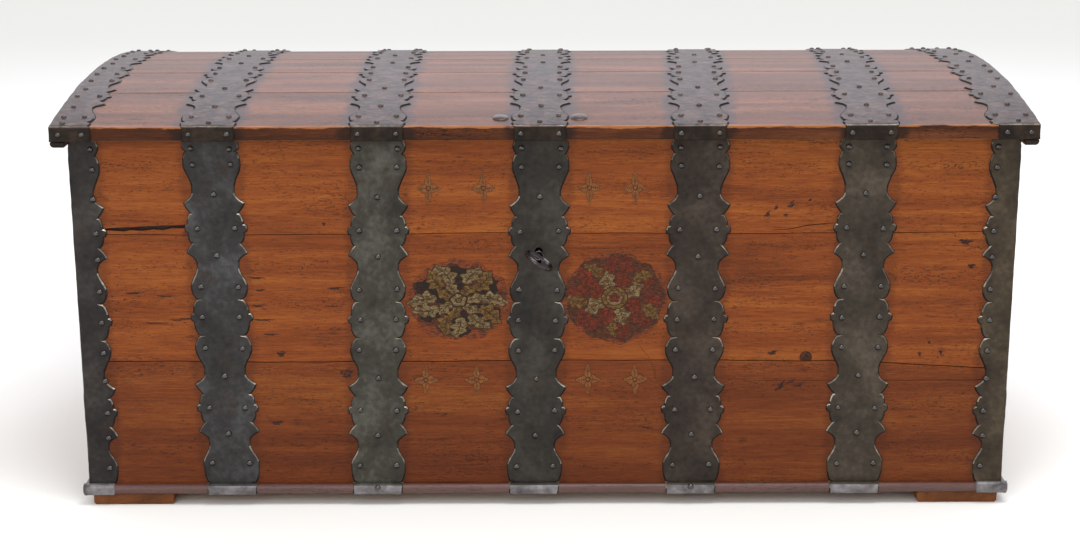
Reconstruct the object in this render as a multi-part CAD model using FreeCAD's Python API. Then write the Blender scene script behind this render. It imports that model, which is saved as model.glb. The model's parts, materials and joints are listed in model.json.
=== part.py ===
import FreeCAD, Part
import math
import os

# Iron-bound oak sea chest with a low arched lid. Millimetres.
# X runs to the right, Y from front to back, Z up from the floor. The key stands out at the front and
# the hinge barrels at the back, and the middle of that whole depth is at Y = 0.

# Body
body_length = 1454.0
body_depth = 725.0
board_thickness = 25.0
bottom_thickness = 18.0
lower_joint_height = 236.0
upper_joint_height = 445.0
bottom_board_count = 3
skid_height = 20.0
skid_width = 128.0
skid_inset = 3.0
skid_chamfer = 3.0
moulding_height = 15.0
moulding_proud = 9.0
moulding_flat = 5.0

# Lid
lid_lip_height = 619.0
lid_rise = 35.0
lid_thickness = 23.0
lid_front_overhang = 25.0
lid_end_overhang = 23.0
lid_edge_board_arc = 175.0
lid_middle_board_count = 3
lid_seat_gap = 0.3
batten_gap = 0.6
batten_drop = 8.0
batten_corner_radius = 6.0

# Iron straps
strap_thickness = 2.0
outer_strap_inset = 223.0
plain_half_width = 39.5
lobe_rise = 7.0
notch_half_width = 33.5
swell_half_width = 39.0
barb_half_width = 47.0
nub_half_width = 47.5
knob_half_width = 43.5
waist_depth = 10.5
nub_length = 9.0
notch_reach = 22.0
swell_share = 0.09
barb_share = 0.28
notch_share = 0.38
link_pitch = 100.0
front_pitches = (197.0, 185.0)
lid_pitches = (197.0, 192.0)
front_first_lobe = 49.0
lid_first_lobe = 40.0
strap_top_gap = 1.0
lobe_bites = 3
waist_bites = 2
lid_flat_length = 84.0
lid_end_strap_offset = 30.0
lid_end_fold_width = 62.0
corner_leaf_offset = 5.0
corner_back_leaf = 45.0
corner_top_gap = 2.0
strap_names = ("left_outer", "left_inner", "centre", "right_inner", "right_outer")
# How far each hand-set strap stands off the even spacing: at the top and foot of the front, and at the
# front and rear edge of the lid.
front_top_shift = (-7.0, -2.0, -5.0, -13.0, -9.0)
front_foot_shift = (4.0, -15.0, -18.0, -20.0, -11.0)
lid_front_shift = (-6.0, -2.0, -7.0, -16.0, -9.0)
lid_rear_shift = (-10.0, -8.0, 3.0, 24.0, 29.0)
hinged_straps = ("left_outer", "centre", "right_outer")

# Nails
nail_radius = 6.0
nail_height = 4.5
nail_sides = 4
nail_edge = 14.0
back_nail_start = 40.0
back_nail_pitch = 95.0
nail_side_spread = 29.0
corner_nail_inset = 35.0
clout_radius = 13.0
clout_height = 3.0
clout_spread = 59.0
clout_arc = 36.0

# Hinges
barrel_radius = 8.0
barrel_flats = 12
pin_radius = 3.5
pin_clearance = 0.3
barrel_gap = 0.4
lid_barrel_length = 30.0
pin_end = 2.0

# Lock and key
key_height = 418.0
key_shank_radius = 4.0
key_rest_tilt = 33.0
key_turn = 57.0
bit_reach = 20.0
bit_thickness = 4.0
bit_length = 12.0
bow_width = 52.0
bow_length = 42.0
bow_bar = 6.0
bow_thickness = 5.0
bow_facets = 24
bow_start = 18.0
collar_radius = 6.5
collar_length = 5.0
collar_gap = 1.0
ward_reach = 6.5
ward_length = 3.0
keyhole_radius = 6.2
keyhole_slot_width = 7.0
keyhole_slot_length = 24.0
case_half_width = 75.0
case_plate_margin = 10.0
case_top_gap = 10.6
case_below_key = 26.0
case_depth = 24.0
case_wall = 2.0
bolt_travel = 18.0
bolt_height = 12.0
bolt_thickness = 6.0
bolt_below_top = 29.0
bolt_length = 96.0
bolt_clearance = 0.3
bolt_lap = 1.0
bolt_front_gap = 10.0
staple_offset = 36.0
staple_thickness = 5.0
staple_width = 18.0
staple_eye_clearance = 1.5
staple_plate_length = 70.0
staple_plate_depth = 34.0
staple_plate_thickness = 2.5
bolt_nose_gap = 4.0
lug_thickness = 6.0
lug_wall = 4.0
arm_width = 30.0
arm_thickness = 4.0
talon_width = 9.0
talon_gap = 13.5
talon_depth = 9.0
slot_margin = 4.0

# Handles
handle_height = 372.0
handle_rod_radius = 5.5
handle_rod_flats = 8
handle_span = 114.0
handle_drop = 62.0
handle_stand_off = 14.0
handle_bend = 14.0
handle_bend_blows = 3
eye_play = 1.0
eye_thickness = 12.0
eye_wall = 4.5
eye_flats = 8
eye_plate_width = 34.0
eye_plate_height = 58.0
eye_plate_thickness = 2.5
handle_tail = 5.0

# Till
till_width = 110.0
till_top_height = 470.0
till_depth = 120.0
till_board = 9.0
till_lid_thickness = 8.0
till_lid_gap = 1.5
till_pin_radius = 3.2
till_pin_length = 10.0

# Worked out from the sizes above
half_length = body_length / 2
key_reach = strap_thickness + bow_start + bow_length
hinge_reach = 2 * barrel_radius + pin_clearance
front_y = -body_depth / 2 + (key_reach - hinge_reach) / 2
back_y = front_y + body_depth
lid_front_y = front_y - lid_front_overhang
lid_half_depth = (back_y - lid_front_y) / 2
lid_middle_y = (back_y + lid_front_y) / 2
lid_half_length = half_length + lid_end_overhang
lid_radius = (lid_half_depth ** 2 + lid_rise ** 2) / (2 * lid_rise)
lid_centre_z = lid_lip_height + lid_rise - lid_radius
lid_half_angle = math.asin(lid_half_depth / lid_radius)
lid_arc = 2 * lid_half_angle * lid_radius
under_radius = lid_radius - lid_thickness
lip_bottom_z = lid_centre_z + math.sqrt(under_radius ** 2 - lid_half_depth ** 2)
hinge_y = back_y + barrel_radius + pin_clearance
hinge_z = lip_bottom_z
moulding_top_z = skid_height + moulding_height
strap_top_z = lip_bottom_z - strap_top_gap
front_strap_length = strap_top_z - moulding_top_z - strap_thickness
strap_spacing = (body_length - 2 * outer_strap_inset) / (len(strap_names) - 1)
inner_front_y = front_y + board_thickness
inner_back_y = back_y - board_thickness
inner_half_length = half_length - board_thickness
eye_spread = handle_span / 2 + handle_bend + eye_thickness / 2 + eye_play


def box(x0, x1, y0, y1, z0, z1):
    corner = FreeCAD.Vector(x0, y0, z0)
    return Part.makeBox(x1 - x0, y1 - y0, z1 - z0, corner)


def along_x(radius, x0, x1, y, z):
    return Part.makeCylinder(radius, x1 - x0, FreeCAD.Vector(x0, y, z), FreeCAD.Vector(1, 0, 0))


def along_y(radius, y0, y1, x, z):
    return Part.makeCylinder(radius, y1 - y0, FreeCAD.Vector(x, y0, z), FreeCAD.Vector(0, 1, 0))


def mirrored_x(shape):
    return shape.mirror(FreeCAD.Vector(0, 0, 0), FreeCAD.Vector(1, 0, 0))


def face_of(points):
    return Part.Face(Part.makePolygon([FreeCAD.Vector(*p) for p in points + points[:1]]))


def arch_shell(inner, outer, x0, x1):
    """Arched sheet between two radii about the lid's centre line."""
    solid = along_x(outer, x0, x1, lid_middle_y, lid_centre_z)
    return solid.cut(along_x(inner, x0, x1, lid_middle_y, lid_centre_z))


def strap_sheet(thickness, x0, x1):
    """Sheet that lies on the lid in short flats, each touching the arch at its middle."""
    count = round(lid_arc / lid_flat_length)
    step = 2 * lid_half_angle / count
    section = []
    for radius in (lid_radius, lid_radius + thickness):
        corner_radius = radius / math.cos(step / 2)
        row = []
        for n in range(-1, count + 2):
            angle = (n - 0.5) * step - lid_half_angle
            row.append((x0, lid_middle_y + corner_radius * math.sin(angle),
                        lid_centre_z + corner_radius * math.cos(angle)))
        section += row if radius == lid_radius else row[::-1]
    return face_of(section).extrude(FreeCAD.Vector(x1 - x0, 0, 0))


def arch_point(arc, radius):
    """Y and Z of a point that lies an arc length back from the lid's front edge."""
    angle = arc / lid_radius - lid_half_angle
    return lid_middle_y + radius * math.sin(angle), lid_centre_z + radius * math.cos(angle)


# Boards of the body


def wall_board(x0, x1, y0, y1, z0, z1):
    """A board of a wall, its top planed to the lid's underside where it reaches it."""
    board = box(x0, x1, y0, y1, z0, z1)
    if z1 > upper_joint_height:
        room = along_x(under_radius - lid_seat_gap, x0, x1, lid_middle_y, lid_centre_z)
        board = board.common(room)
    return board


def wall_heights():
    top = lid_lip_height + lid_rise
    edges = (skid_height, lower_joint_height, upper_joint_height, top)
    names = ("bottom", "middle", "top")
    return [(name, edges[n], edges[n + 1]) for n, name in enumerate(names)]


def keyhole(y0, y1):
    """Round hole with a slot under it for the key's bit."""
    x = key_x()
    half = keyhole_slot_width / 2
    slot = box(x - half, x + half, y0, y1, key_height - keyhole_slot_length, key_height)
    return along_y(keyhole_radius, y0, y1, x, key_height).fuse(slot)


def till_pin_axis():
    x = -inner_half_length + till_lid_gap + till_lid_thickness / 2
    return x, till_top_height + lid_seat_gap + till_lid_thickness / 2


def till_pin_hole(y0, y1):
    x, z = till_pin_axis()
    return along_y(till_pin_radius + pin_clearance, y0, y1, x, z)


def front_boards():
    nodes = {}
    for name, low, high in wall_heights():
        board = wall_board(-half_length, half_length, front_y, inner_front_y, low, high)
        if low < key_height + keyhole_radius and high > key_height - keyhole_slot_length:
            board = board.cut(keyhole(front_y, inner_front_y))
        if low < till_top_height < high:
            depth = till_pin_length + pin_clearance
            board = board.cut(till_pin_hole(inner_front_y - depth, inner_front_y))
        nodes["front_board_" + name] = board
    return nodes


def back_boards():
    nodes = {}
    for name, low, high in wall_heights():
        board = wall_board(-half_length, half_length, inner_back_y, back_y, low, high)
        if low < till_top_height < high:
            board = board.cut(till_pin_hole(inner_back_y, inner_back_y + till_pin_length + pin_clearance))
        nodes["back_board_" + name] = board
    return nodes


def right_end_boards():
    boards = []
    for _, low, high in wall_heights():
        boards.append(wall_board(inner_half_length, half_length, inner_front_y, inner_back_y, low, high))
    return Part.makeCompound(boards)


def bottom_boards():
    width = (inner_back_y - inner_front_y) / bottom_board_count
    boards = []
    for n in range(bottom_board_count):
        y = inner_front_y + n * width
        top = skid_height + bottom_thickness
        boards.append(box(-inner_half_length, inner_half_length, y, y + width, skid_height, top))
    return Part.makeCompound(boards)


def right_skid():
    outer = half_length - skid_inset
    skid = box(outer - skid_width, outer, front_y, back_y, 0, skid_height)
    edges = [e for e in skid.Edges if e.BoundBox.ZMax < skid_chamfer and e.Length > skid_width + 1]
    return skid.makeChamfer(skid_chamfer, edges)


# Base moulding


def moulding_profile(proud, height, flat):
    """Half-round section, standing out towards -Y from the wall."""
    nose = Part.Arc(
        FreeCAD.Vector(0, -flat, height),
        FreeCAD.Vector(0, -proud, height / 2),
        FreeCAD.Vector(0, -flat, 0),
    ).toShape()
    under = Part.makePolygon([FreeCAD.Vector(0, -flat, 0), FreeCAD.Vector(0, 0, 0),
                              FreeCAD.Vector(0, 0, height), FreeCAD.Vector(0, -flat, height)])
    return Part.Face(Part.Wire([nose] + under.Edges))


def moulding_run(length):
    """One mitred run of moulding, its wall face in the plane Y = 0 and its middle at X = 0."""
    half = length / 2
    run = moulding_profile(moulding_proud, moulding_height, moulding_flat)
    run.translate(FreeCAD.Vector(-half - moulding_proud, 0, skid_height))
    run = run.extrude(FreeCAD.Vector(length + 2 * moulding_proud, 0, 0))
    plan = [(-half - moulding_proud, -moulding_proud, 0), (half + moulding_proud, -moulding_proud, 0),
            (half, 0, 0), (-half, 0, 0)]
    return run.common(face_of(plan).extrude(FreeCAD.Vector(0, 0, moulding_top_z)))


def base_mouldings():
    nodes = {}
    middle_y = (front_y + back_y) / 2
    runs = (("front", body_length, 0), ("right", body_depth, 90), ("back", body_length, 180),
            ("left", body_depth, 270))
    for name, length, turn in runs:
        run = moulding_run(length)
        across = body_depth if length == body_length else body_length
        run.translate(FreeCAD.Vector(0, middle_y - across / 2, 0))
        run.rotate(FreeCAD.Vector(0, middle_y, 0), FreeCAD.Vector(0, 0, 1), turn)
        nodes["base_moulding_" + name] = run
    return nodes


# Scalloped straps


def bite(points, along, half, bulge, bites):
    """Cuts from the last point to a new one in short straight bites that follow a bulging curve."""
    start, width = points[-1]
    for n in range(1, bites + 1):
        t = n / bites
        swell = 4 * bulge * t * (1 - t)
        points.append((start + (along - start) * t, width + (half - width) * t + swell))


def knob_lobe(points, end):
    """Round lobe with a small nub at its middle, from one notch to the next."""
    middle = (points[-1][0] + end) / 2
    bite(points, middle - nub_length / 2, knob_half_width, lobe_rise / 3, 2)
    points.append((middle, nub_half_width))
    points.append((middle + nub_length / 2, knob_half_width))
    bite(points, end, notch_half_width, lobe_rise / 3, 2)


def scalloped_edge(length, first_lobe, pitches):
    """Half widths of a strap along its length: lobes, waists, barbs and nubs, mirrored in each motif."""
    points = [(0.0, plain_half_width)]
    bite(points, first_lobe - notch_reach, notch_half_width, lobe_rise / 2, 2)
    lobe = first_lobe
    for n, pitch in enumerate(pitches):
        if n:
            knob_lobe(points, lobe - notch_reach)
        bite(points, lobe + swell_share * pitch, swell_half_width, lobe_rise, lobe_bites)
        bite(points, lobe + barb_share * pitch, barb_half_width, -waist_depth, waist_bites)
        bite(points, lobe + notch_share * pitch, notch_half_width, 0, 1)
        knob_lobe(points, lobe + (1 - notch_share) * pitch)
        bite(points, lobe + (1 - barb_share) * pitch, barb_half_width, 0, 1)
        bite(points, lobe + (1 - swell_share) * pitch, swell_half_width, -waist_depth, waist_bites)
        lobe += pitch
        room = length - lobe
        end = length if room < link_pitch else lobe + notch_reach
        bite(points, end, notch_half_width, lobe_rise, lobe_bites)
        lobe += link_pitch
    if points[-1][0] < length:
        knob_lobe(points, lobe - notch_reach)
        bite(points, lobe + notch_reach, plain_half_width, lobe_rise / 2, lobe_bites)
        points.append((length, plain_half_width))
    return points


def strap_plan(edge, lean):
    """Closed outline in X and Y from a strap's edge, both sides alike; Y runs along the leaning strap."""
    right = [(lean * along + half, along, 0) for along, half in edge]
    left = [(lean * along - half, along, 0) for along, half in reversed(edge)]
    return face_of(right + left)


def leaf_plan(edge, offset):
    """Outline of a one-sided leaf, straight at X = 0 and scalloped towards +X."""
    points = [(half + offset, along, 0) for along, half in edge]
    return face_of(points + [(0, edge[-1][0], 0), (0, edge[0][0], 0)])


def nail_spots(length, first_lobe, pitches):
    """Places of a strap's nails: distance along it and distance from its middle, right side only."""
    spots = [(nail_edge, nail_side_spread)]
    lobe = first_lobe
    for n, pitch in enumerate(pitches):
        if n:
            spots.append((lobe - link_pitch / 2, nail_side_spread))
        spots.append((lobe, nail_side_spread))
        spots.append((lobe + (swell_share + barb_share) / 2 * pitch + nail_radius, 0.0))
        spots.append((lobe + pitch / 2, nail_side_spread))
        spots.append((lobe + (1 - (swell_share + barb_share) / 2) * pitch - nail_radius, 0.0))
        lobe += pitch
        spots.append((min(lobe, length - nail_edge), nail_side_spread))
        lobe += link_pitch
    if lobe < length:
        spots.append((lobe - link_pitch / 2, nail_side_spread))
        spots.append((lobe, nail_side_spread))
        spots.append((length - nail_edge, nail_side_spread))
    return spots


def strap_x(n, shift):
    return (n - (len(strap_names) - 1) / 2) * strap_spacing + shift[n]


def front_strap_x(n, drop):
    """Centre of a front strap a given distance below its top."""
    top = strap_x(n, front_top_shift)
    return top + (strap_x(n, front_foot_shift) - top) * drop / front_strap_length


def key_x():
    return front_strap_x(strap_names.index("centre"), strap_top_z - key_height)


def front_straps():
    nodes = {}
    edge = scalloped_edge(front_strap_length + strap_thickness / 2, front_first_lobe, front_pitches)
    wrap_profile = moulding_profile(moulding_proud + strap_thickness, moulding_height + strap_thickness,
                                    moulding_flat + strap_thickness)
    core_profile = moulding_profile(moulding_proud, moulding_height, moulding_flat)
    for n, name in enumerate(strap_names):
        top_x = front_strap_x(n, 0)
        strap = strap_plan(edge, (front_strap_x(n, front_strap_length) - top_x) / front_strap_length)
        strap.rotate(FreeCAD.Vector(0, 0, 0), FreeCAD.Vector(1, 0, 0), -90)
        strap.translate(FreeCAD.Vector(top_x, front_y, strap_top_z))
        strap = strap.extrude(FreeCAD.Vector(0, -strap_thickness, 0))
        foot_x = front_strap_x(n, front_strap_length)
        wrap = wrap_profile.cut(core_profile).Faces[0]
        wrap.translate(FreeCAD.Vector(foot_x - plain_half_width, front_y, skid_height))
        wrap = wrap.extrude(FreeCAD.Vector(2 * plain_half_width, 0, 0))
        strap = strap.fuse(wrap)
        if name == "centre":
            strap = strap.cut(keyhole(front_y - strap_thickness, front_y))
        nodes["front_strap_" + name] = strap.removeSplitter()
    return nodes


def corner_strap_front_right():
    """Angle iron over the corner: a scalloped leaf on the front and one on the end."""
    edge = scalloped_edge(front_strap_length + strap_thickness, front_first_lobe, front_pitches)
    front = leaf_plan(edge, corner_leaf_offset)
    front.rotate(FreeCAD.Vector(0, 0, 0), FreeCAD.Vector(1, 0, 0), -90)
    front.translate(FreeCAD.Vector(0, 0, strap_top_z))
    front = front.extrude(FreeCAD.Vector(0, -strap_thickness, 0))
    front = front.mirror(FreeCAD.Vector(0, 0, 0), FreeCAD.Vector(1, 0, 0))
    front.translate(FreeCAD.Vector(half_length + strap_thickness, front_y, 0))
    side = leaf_plan(edge, corner_leaf_offset)
    side.rotate(FreeCAD.Vector(0, 0, 0), FreeCAD.Vector(1, 0, 0), -90)
    side.rotate(FreeCAD.Vector(0, 0, 0), FreeCAD.Vector(0, 0, 1), 90)
    side = side.extrude(FreeCAD.Vector(strap_thickness, 0, 0))
    side.translate(FreeCAD.Vector(half_length, front_y - strap_thickness, strap_top_z))
    return trim_corner(front.fuse(side))


def corner_strap_back_right():
    """Angle iron of two plain leaves on the back corner."""
    low = moulding_top_z
    back = box(half_length - corner_back_leaf, half_length + strap_thickness, back_y,
               back_y + strap_thickness, low, strap_top_z)
    side = box(half_length, half_length + strap_thickness, back_y - corner_back_leaf,
               back_y + strap_thickness, low, strap_top_z)
    return trim_corner(back.fuse(side))


def trim_corner(strap):
    """Cuts the end leaf short under the lid's batten, which hangs outside it."""
    low = lip_bottom_z - batten_drop - corner_top_gap
    over = box(half_length, half_length + 2 * strap_thickness, lid_front_y - strap_thickness,
               back_y + lid_front_overhang, low, lid_lip_height)
    return strap.cut(over).removeSplitter()


def back_straps():
    nodes = {}
    y1 = back_y + strap_thickness
    for n, name in enumerate(strap_names):
        x = strap_x(n, lid_rear_shift)
        x0 = x - plain_half_width
        x1 = x + plain_half_width
        if name in hinged_straps:
            strap = box(x0, x1, back_y, y1, moulding_top_z, hinge_z)
            gap = lid_barrel_length / 2 + barrel_gap
            low = hinge_z - barrel_radius - barrel_gap
            strap = strap.cut(box(x - gap, x + gap, back_y, y1, low, hinge_z))
            strap = strap.fuse([knuckle(x0, x - gap), knuckle(x + gap, x1)])
            strap = strap.cut(knuckle_bore(x0, x1))
        else:
            strap = box(x0, x1, back_y, y1, moulding_top_z, strap_top_z)
        nodes["back_strap_" + name] = strap.removeSplitter()
    return nodes


# Hinges


def hammered_ring(radius, flats, y, z):
    """Corners of a ring hammered to equal flats, in Y and Z."""
    rim = []
    for n in range(flats):
        angle = 2 * math.pi * n / flats
        rim.append((y + radius * math.cos(angle), z + radius * math.sin(angle)))
    return rim


def knuckle(x0, x1):
    """Knuckle rolled and hammered from a strap's end, before its bore is made."""
    rim = hammered_ring(barrel_radius, barrel_flats, hinge_y, hinge_z)
    return face_of([(x0, y, z) for y, z in rim]).extrude(FreeCAD.Vector(x1 - x0, 0, 0))


def knuckle_bore(x0, x1):
    """Room for the pin, its flats a clearance away from the pin all round."""
    corner = (pin_radius + pin_clearance) / math.cos(math.pi / barrel_flats)
    rim = hammered_ring(corner, barrel_flats, hinge_y, hinge_z)
    return face_of([(x0, y, z) for y, z in rim]).extrude(FreeCAD.Vector(x1 - x0, 0, 0))


def hinge_pins():
    pins = []
    for n, name in enumerate(strap_names):
        if name in hinged_straps:
            x = strap_x(n, lid_rear_shift)
            reach = plain_half_width + pin_end
            pins.append(along_x(pin_radius, x - reach, x + reach, hinge_y, hinge_z))
    return Part.makeCompound(pins)


# Lid


def lid_boards():
    names = ("front", "front_middle", "crest", "rear_middle", "rear")
    middle = (lid_arc - 2 * lid_edge_board_arc) / lid_middle_board_count
    widths = [lid_edge_board_arc] + [middle] * lid_middle_board_count + [lid_edge_board_arc]
    shell = arch_shell(under_radius, lid_radius, -lid_half_length, lid_half_length)
    nodes = {}
    start = 0.0
    for name, width in zip(names, widths):
        sector = [(-lid_half_length, lid_middle_y, lid_centre_z)]
        for arc in (start, start + width):
            y, z = arch_point(arc, lid_radius + lid_thickness)
            sector.append((-lid_half_length, y, z))
        wedge = face_of(sector).extrude(FreeCAD.Vector(2 * lid_half_length, 0, 0))
        board = shell.common(wedge)
        board = board.common(box(-lid_half_length, lid_half_length, lid_front_y, back_y,
                                 lip_bottom_z - lid_thickness, lid_lip_height + lid_rise))
        nodes["lid_board_" + name] = board
        start += width
    return nodes


def lid_batten_right():
    """Cleat outside the end wall, under the lid's overhang, with its lower front corner rounded."""
    x0 = half_length + batten_gap
    low = lip_bottom_z - batten_drop
    cleat = box(x0, lid_half_length, lid_front_y, back_y, low, lid_lip_height + lid_rise)
    cleat = cleat.common(along_x(under_radius, x0, lid_half_length, lid_middle_y, lid_centre_z))
    edges = [e for e in cleat.Edges if abs(e.BoundBox.ZMax - low) < 1e-6
             and abs(e.BoundBox.XMin - lid_half_length) < 1e-6]
    return cleat.makeFillet(batten_corner_radius, edges)


def lid_edge():
    """Edge of a lid strap, drawn in plan: along the chord in place of the arc."""
    edge = scalloped_edge(lid_arc, lid_first_lobe, lid_pitches)
    return [(along * 2 * lid_half_depth / lid_arc, half) for along, half in edge]


def bent_over_lid(plan):
    """Cuts the strap's plan out of the sheet that lies on the lid."""
    upright = plan.extrude(FreeCAD.Vector(0, 0, lid_lip_height + lid_rise))
    bounds = upright.BoundBox
    return upright.common(strap_sheet(strap_thickness, bounds.XMin - 1, bounds.XMax + 1))


def edge_fold(x0, x1, y0, low):
    """Plain end of a lid strap, folded down over the lid's edge, with its bend above the edge."""
    y1 = y0 + strap_thickness
    return box(x0, x1, y0, y1, low, lid_lip_height + strap_thickness)


def lid_straps():
    nodes = {}
    edge = lid_edge()
    low = lip_bottom_z + lid_seat_gap
    for n, name in enumerate(strap_names):
        front = strap_x(n, lid_front_shift)
        rear = strap_x(n, lid_rear_shift)
        plan = strap_plan(edge, (rear - front) / (2 * lid_half_depth))
        plan.translate(FreeCAD.Vector(front, lid_front_y, lip_bottom_z))
        strap = bent_over_lid(plan)
        x0 = rear - plain_half_width
        x1 = rear + plain_half_width
        folds = [edge_fold(front - plain_half_width, front + plain_half_width,
                           lid_front_y - strap_thickness, low)]
        if name in hinged_straps:
            fold = edge_fold(x0, x1, back_y, hinge_z)
            reach = lid_barrel_length / 2
            top = hinge_z + barrel_radius + barrel_gap
            y1 = back_y + strap_thickness
            fold = fold.cut(box(x0, rear - reach, back_y, y1, hinge_z, top))
            fold = fold.cut(box(rear + reach, x1, back_y, y1, hinge_z, top))
            fold = fold.fuse(knuckle(rear - reach, rear + reach))
            folds.append(fold.cut(knuckle_bore(x0, x1)))
        else:
            folds.append(edge_fold(x0, x1, back_y, low))
        nodes["lid_strap_" + name] = strap.fuse(folds).removeSplitter()
    return nodes


def lid_strap_right_end():
    """Strap along the lid's end: straight outside, scalloped inside."""
    plan = leaf_plan(lid_edge(), lid_end_strap_offset)
    plan = plan.mirror(FreeCAD.Vector(0, 0, 0), FreeCAD.Vector(1, 0, 0))
    plan.translate(FreeCAD.Vector(lid_half_length, lid_front_y, lip_bottom_z))
    x0 = lid_half_length - lid_end_fold_width
    low = lip_bottom_z + lid_seat_gap
    folds = [edge_fold(x0, lid_half_length, lid_front_y - strap_thickness, low),
             edge_fold(x0, lid_half_length, back_y, low)]
    return bent_over_lid(plan).fuse(folds).removeSplitter()


# Nails


def faceted_head(radius, height):
    """Hammered nail head: a low pyramid on its strap, standing up along +Z."""
    rim = []
    for n in range(nail_sides):
        angle = 2 * math.pi * n / nail_sides
        rim.append(FreeCAD.Vector(radius * math.cos(angle), radius * math.sin(angle), 0))
    top = FreeCAD.Vector(0, 0, height)
    faces = [Part.Face(Part.makePolygon(rim + rim[:1]))]
    for n in range(nail_sides):
        a = rim[n]
        b = rim[(n + 1) % nail_sides]
        faces.append(Part.Face(Part.makePolygon([a, b, top, a])))
    head = Part.Solid(Part.Shell(faces))
    if head.Volume < 0:
        head.reverse()
    return head


def driven(place, outward, head):
    """A copy of a nail head standing on a face that looks outward."""
    turn = FreeCAD.Rotation(FreeCAD.Vector(0, 0, 1), FreeCAD.Vector(*outward))
    nail = head.copy()
    nail.Placement = FreeCAD.Placement(FreeCAD.Vector(*place), turn)
    return nail


def both_sides(spots):
    for along, across in spots:
        yield along, across
        if across:
            yield along, -across


def front_nails(head):
    nails = []
    face = front_y - strap_thickness
    spots = nail_spots(front_strap_length, front_first_lobe, front_pitches)
    for n, name in enumerate(strap_names):
        for along, across in both_sides(spots):
            x = front_strap_x(n, along) + across
            z = strap_top_z - along
            near_key = name == "centre" and not across and abs(z - key_height) < link_pitch / 2
            if not near_key:
                nails.append(driven((x, face, z), (0, -1, 0), head))
    return nails


def corner_nails(head):
    nails = []
    length = front_strap_length
    outer = half_length + strap_thickness
    for along, _ in nail_spots(length, front_first_lobe, front_pitches):
        z = strap_top_z - along
        for side in (-1, 1):
            x = side * (outer - corner_nail_inset)
            nails.append(driven((x, front_y - strap_thickness, z), (0, -1, 0), head))
            nails.append(driven((x, back_y + strap_thickness, z), (0, 1, 0), head))
            if along > nail_edge:
                y = front_y + corner_nail_inset
                nails.append(driven((side * outer, y, z), (side, 0, 0), head))
                y = back_y - corner_nail_inset
                nails.append(driven((side * outer, y, z), (side, 0, 0), head))
    return nails


def back_nails(head):
    nails = []
    rows = int((front_strap_length - back_nail_start - nail_edge) // back_nail_pitch) + 1
    for n, _ in enumerate(strap_names):
        for row in range(rows):
            z = strap_top_z - back_nail_start - row * back_nail_pitch
            for side in (-1, 1):
                x = strap_x(n, lid_rear_shift) + side * nail_side_spread
                nails.append(driven((x, back_y + strap_thickness, z), (0, 1, 0), head))
    return nails


def body_strap_nails():
    head = faceted_head(nail_radius, nail_height)
    return Part.makeCompound(front_nails(head) + corner_nails(head) + back_nails(head))


def lid_nail(x, arc, head):
    y, z = arch_point(arc, (lid_radius + strap_thickness) / math.cos(lid_flat_length / lid_radius / 2))
    return driven((x, y, z), (0, y - lid_middle_y, z - lid_centre_z), head)


def lid_strap_nails():
    head = faceted_head(nail_radius, nail_height)
    spots = nail_spots(lid_arc, lid_first_lobe, lid_pitches)
    lip_z = (lip_bottom_z + lid_lip_height) / 2
    nails = []
    for n, _ in enumerate(strap_names):
        front = strap_x(n, lid_front_shift)
        rear = strap_x(n, lid_rear_shift)
        for along, across in both_sides(spots):
            nails.append(lid_nail(front + (rear - front) * along / lid_arc + across, along, head))
        for across in (-nail_side_spread, nail_side_spread):
            place = (front + across, lid_front_y - strap_thickness, lip_z)
            nails.append(driven(place, (0, -1, 0), head))
    for side in (-1, 1):
        for along, across in spots:
            inner = lid_half_length - lid_end_strap_offset - across
            nails.append(lid_nail(side * inner, along, head))
            if across:
                nails.append(lid_nail(side * (lid_half_length - nail_edge), along, head))
        for inset in (nail_edge, lid_end_fold_width - nail_edge):
            place = (side * (lid_half_length - inset), lid_front_y - strap_thickness, lip_z)
            nails.append(driven(place, (0, -1, 0), head))
    return Part.makeCompound(nails)


def lid_clout_heads():
    """Two broad low heads on the front lid board, one on each side of the centre strap."""
    x = strap_x(strap_names.index("centre"), lid_front_shift)
    y, z = arch_point(clout_arc, lid_radius)
    head = faceted_head(clout_radius, clout_height)
    outward = (0, y - lid_middle_y, z - lid_centre_z)
    return Part.makeCompound([driven((x + side * clout_spread, y, z), outward, head) for side in (-1, 1)])


# Lock and key


def staple_x():
    return key_x() + staple_offset


def bolt_y():
    return inner_front_y + bolt_front_gap


def case_top_z():
    return lip_bottom_z - case_top_gap


def bolt_z():
    return case_top_z() - bolt_below_top


def bolt_nose_x():
    return staple_x() - staple_thickness / 2 - bolt_nose_gap


def lug(x0):
    """Guide for the bolt, standing on the lock's plate with an eye a little larger than the bolt."""
    y0 = inner_front_y
    y1 = bolt_y() + bolt_thickness + lug_wall
    z0 = bolt_z() - bolt_height / 2
    z1 = bolt_z() + bolt_height / 2
    gap = bolt_clearance
    block = box(x0, x0 + lug_thickness, y0, y1, z0 - lug_wall, z1 + lug_wall)
    inner = bolt_y() + bolt_thickness + gap
    eye = box(x0, x0 + lug_thickness, bolt_y() - gap, inner, z0 - gap, z1 + gap)
    return block.cut(eye)


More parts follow.
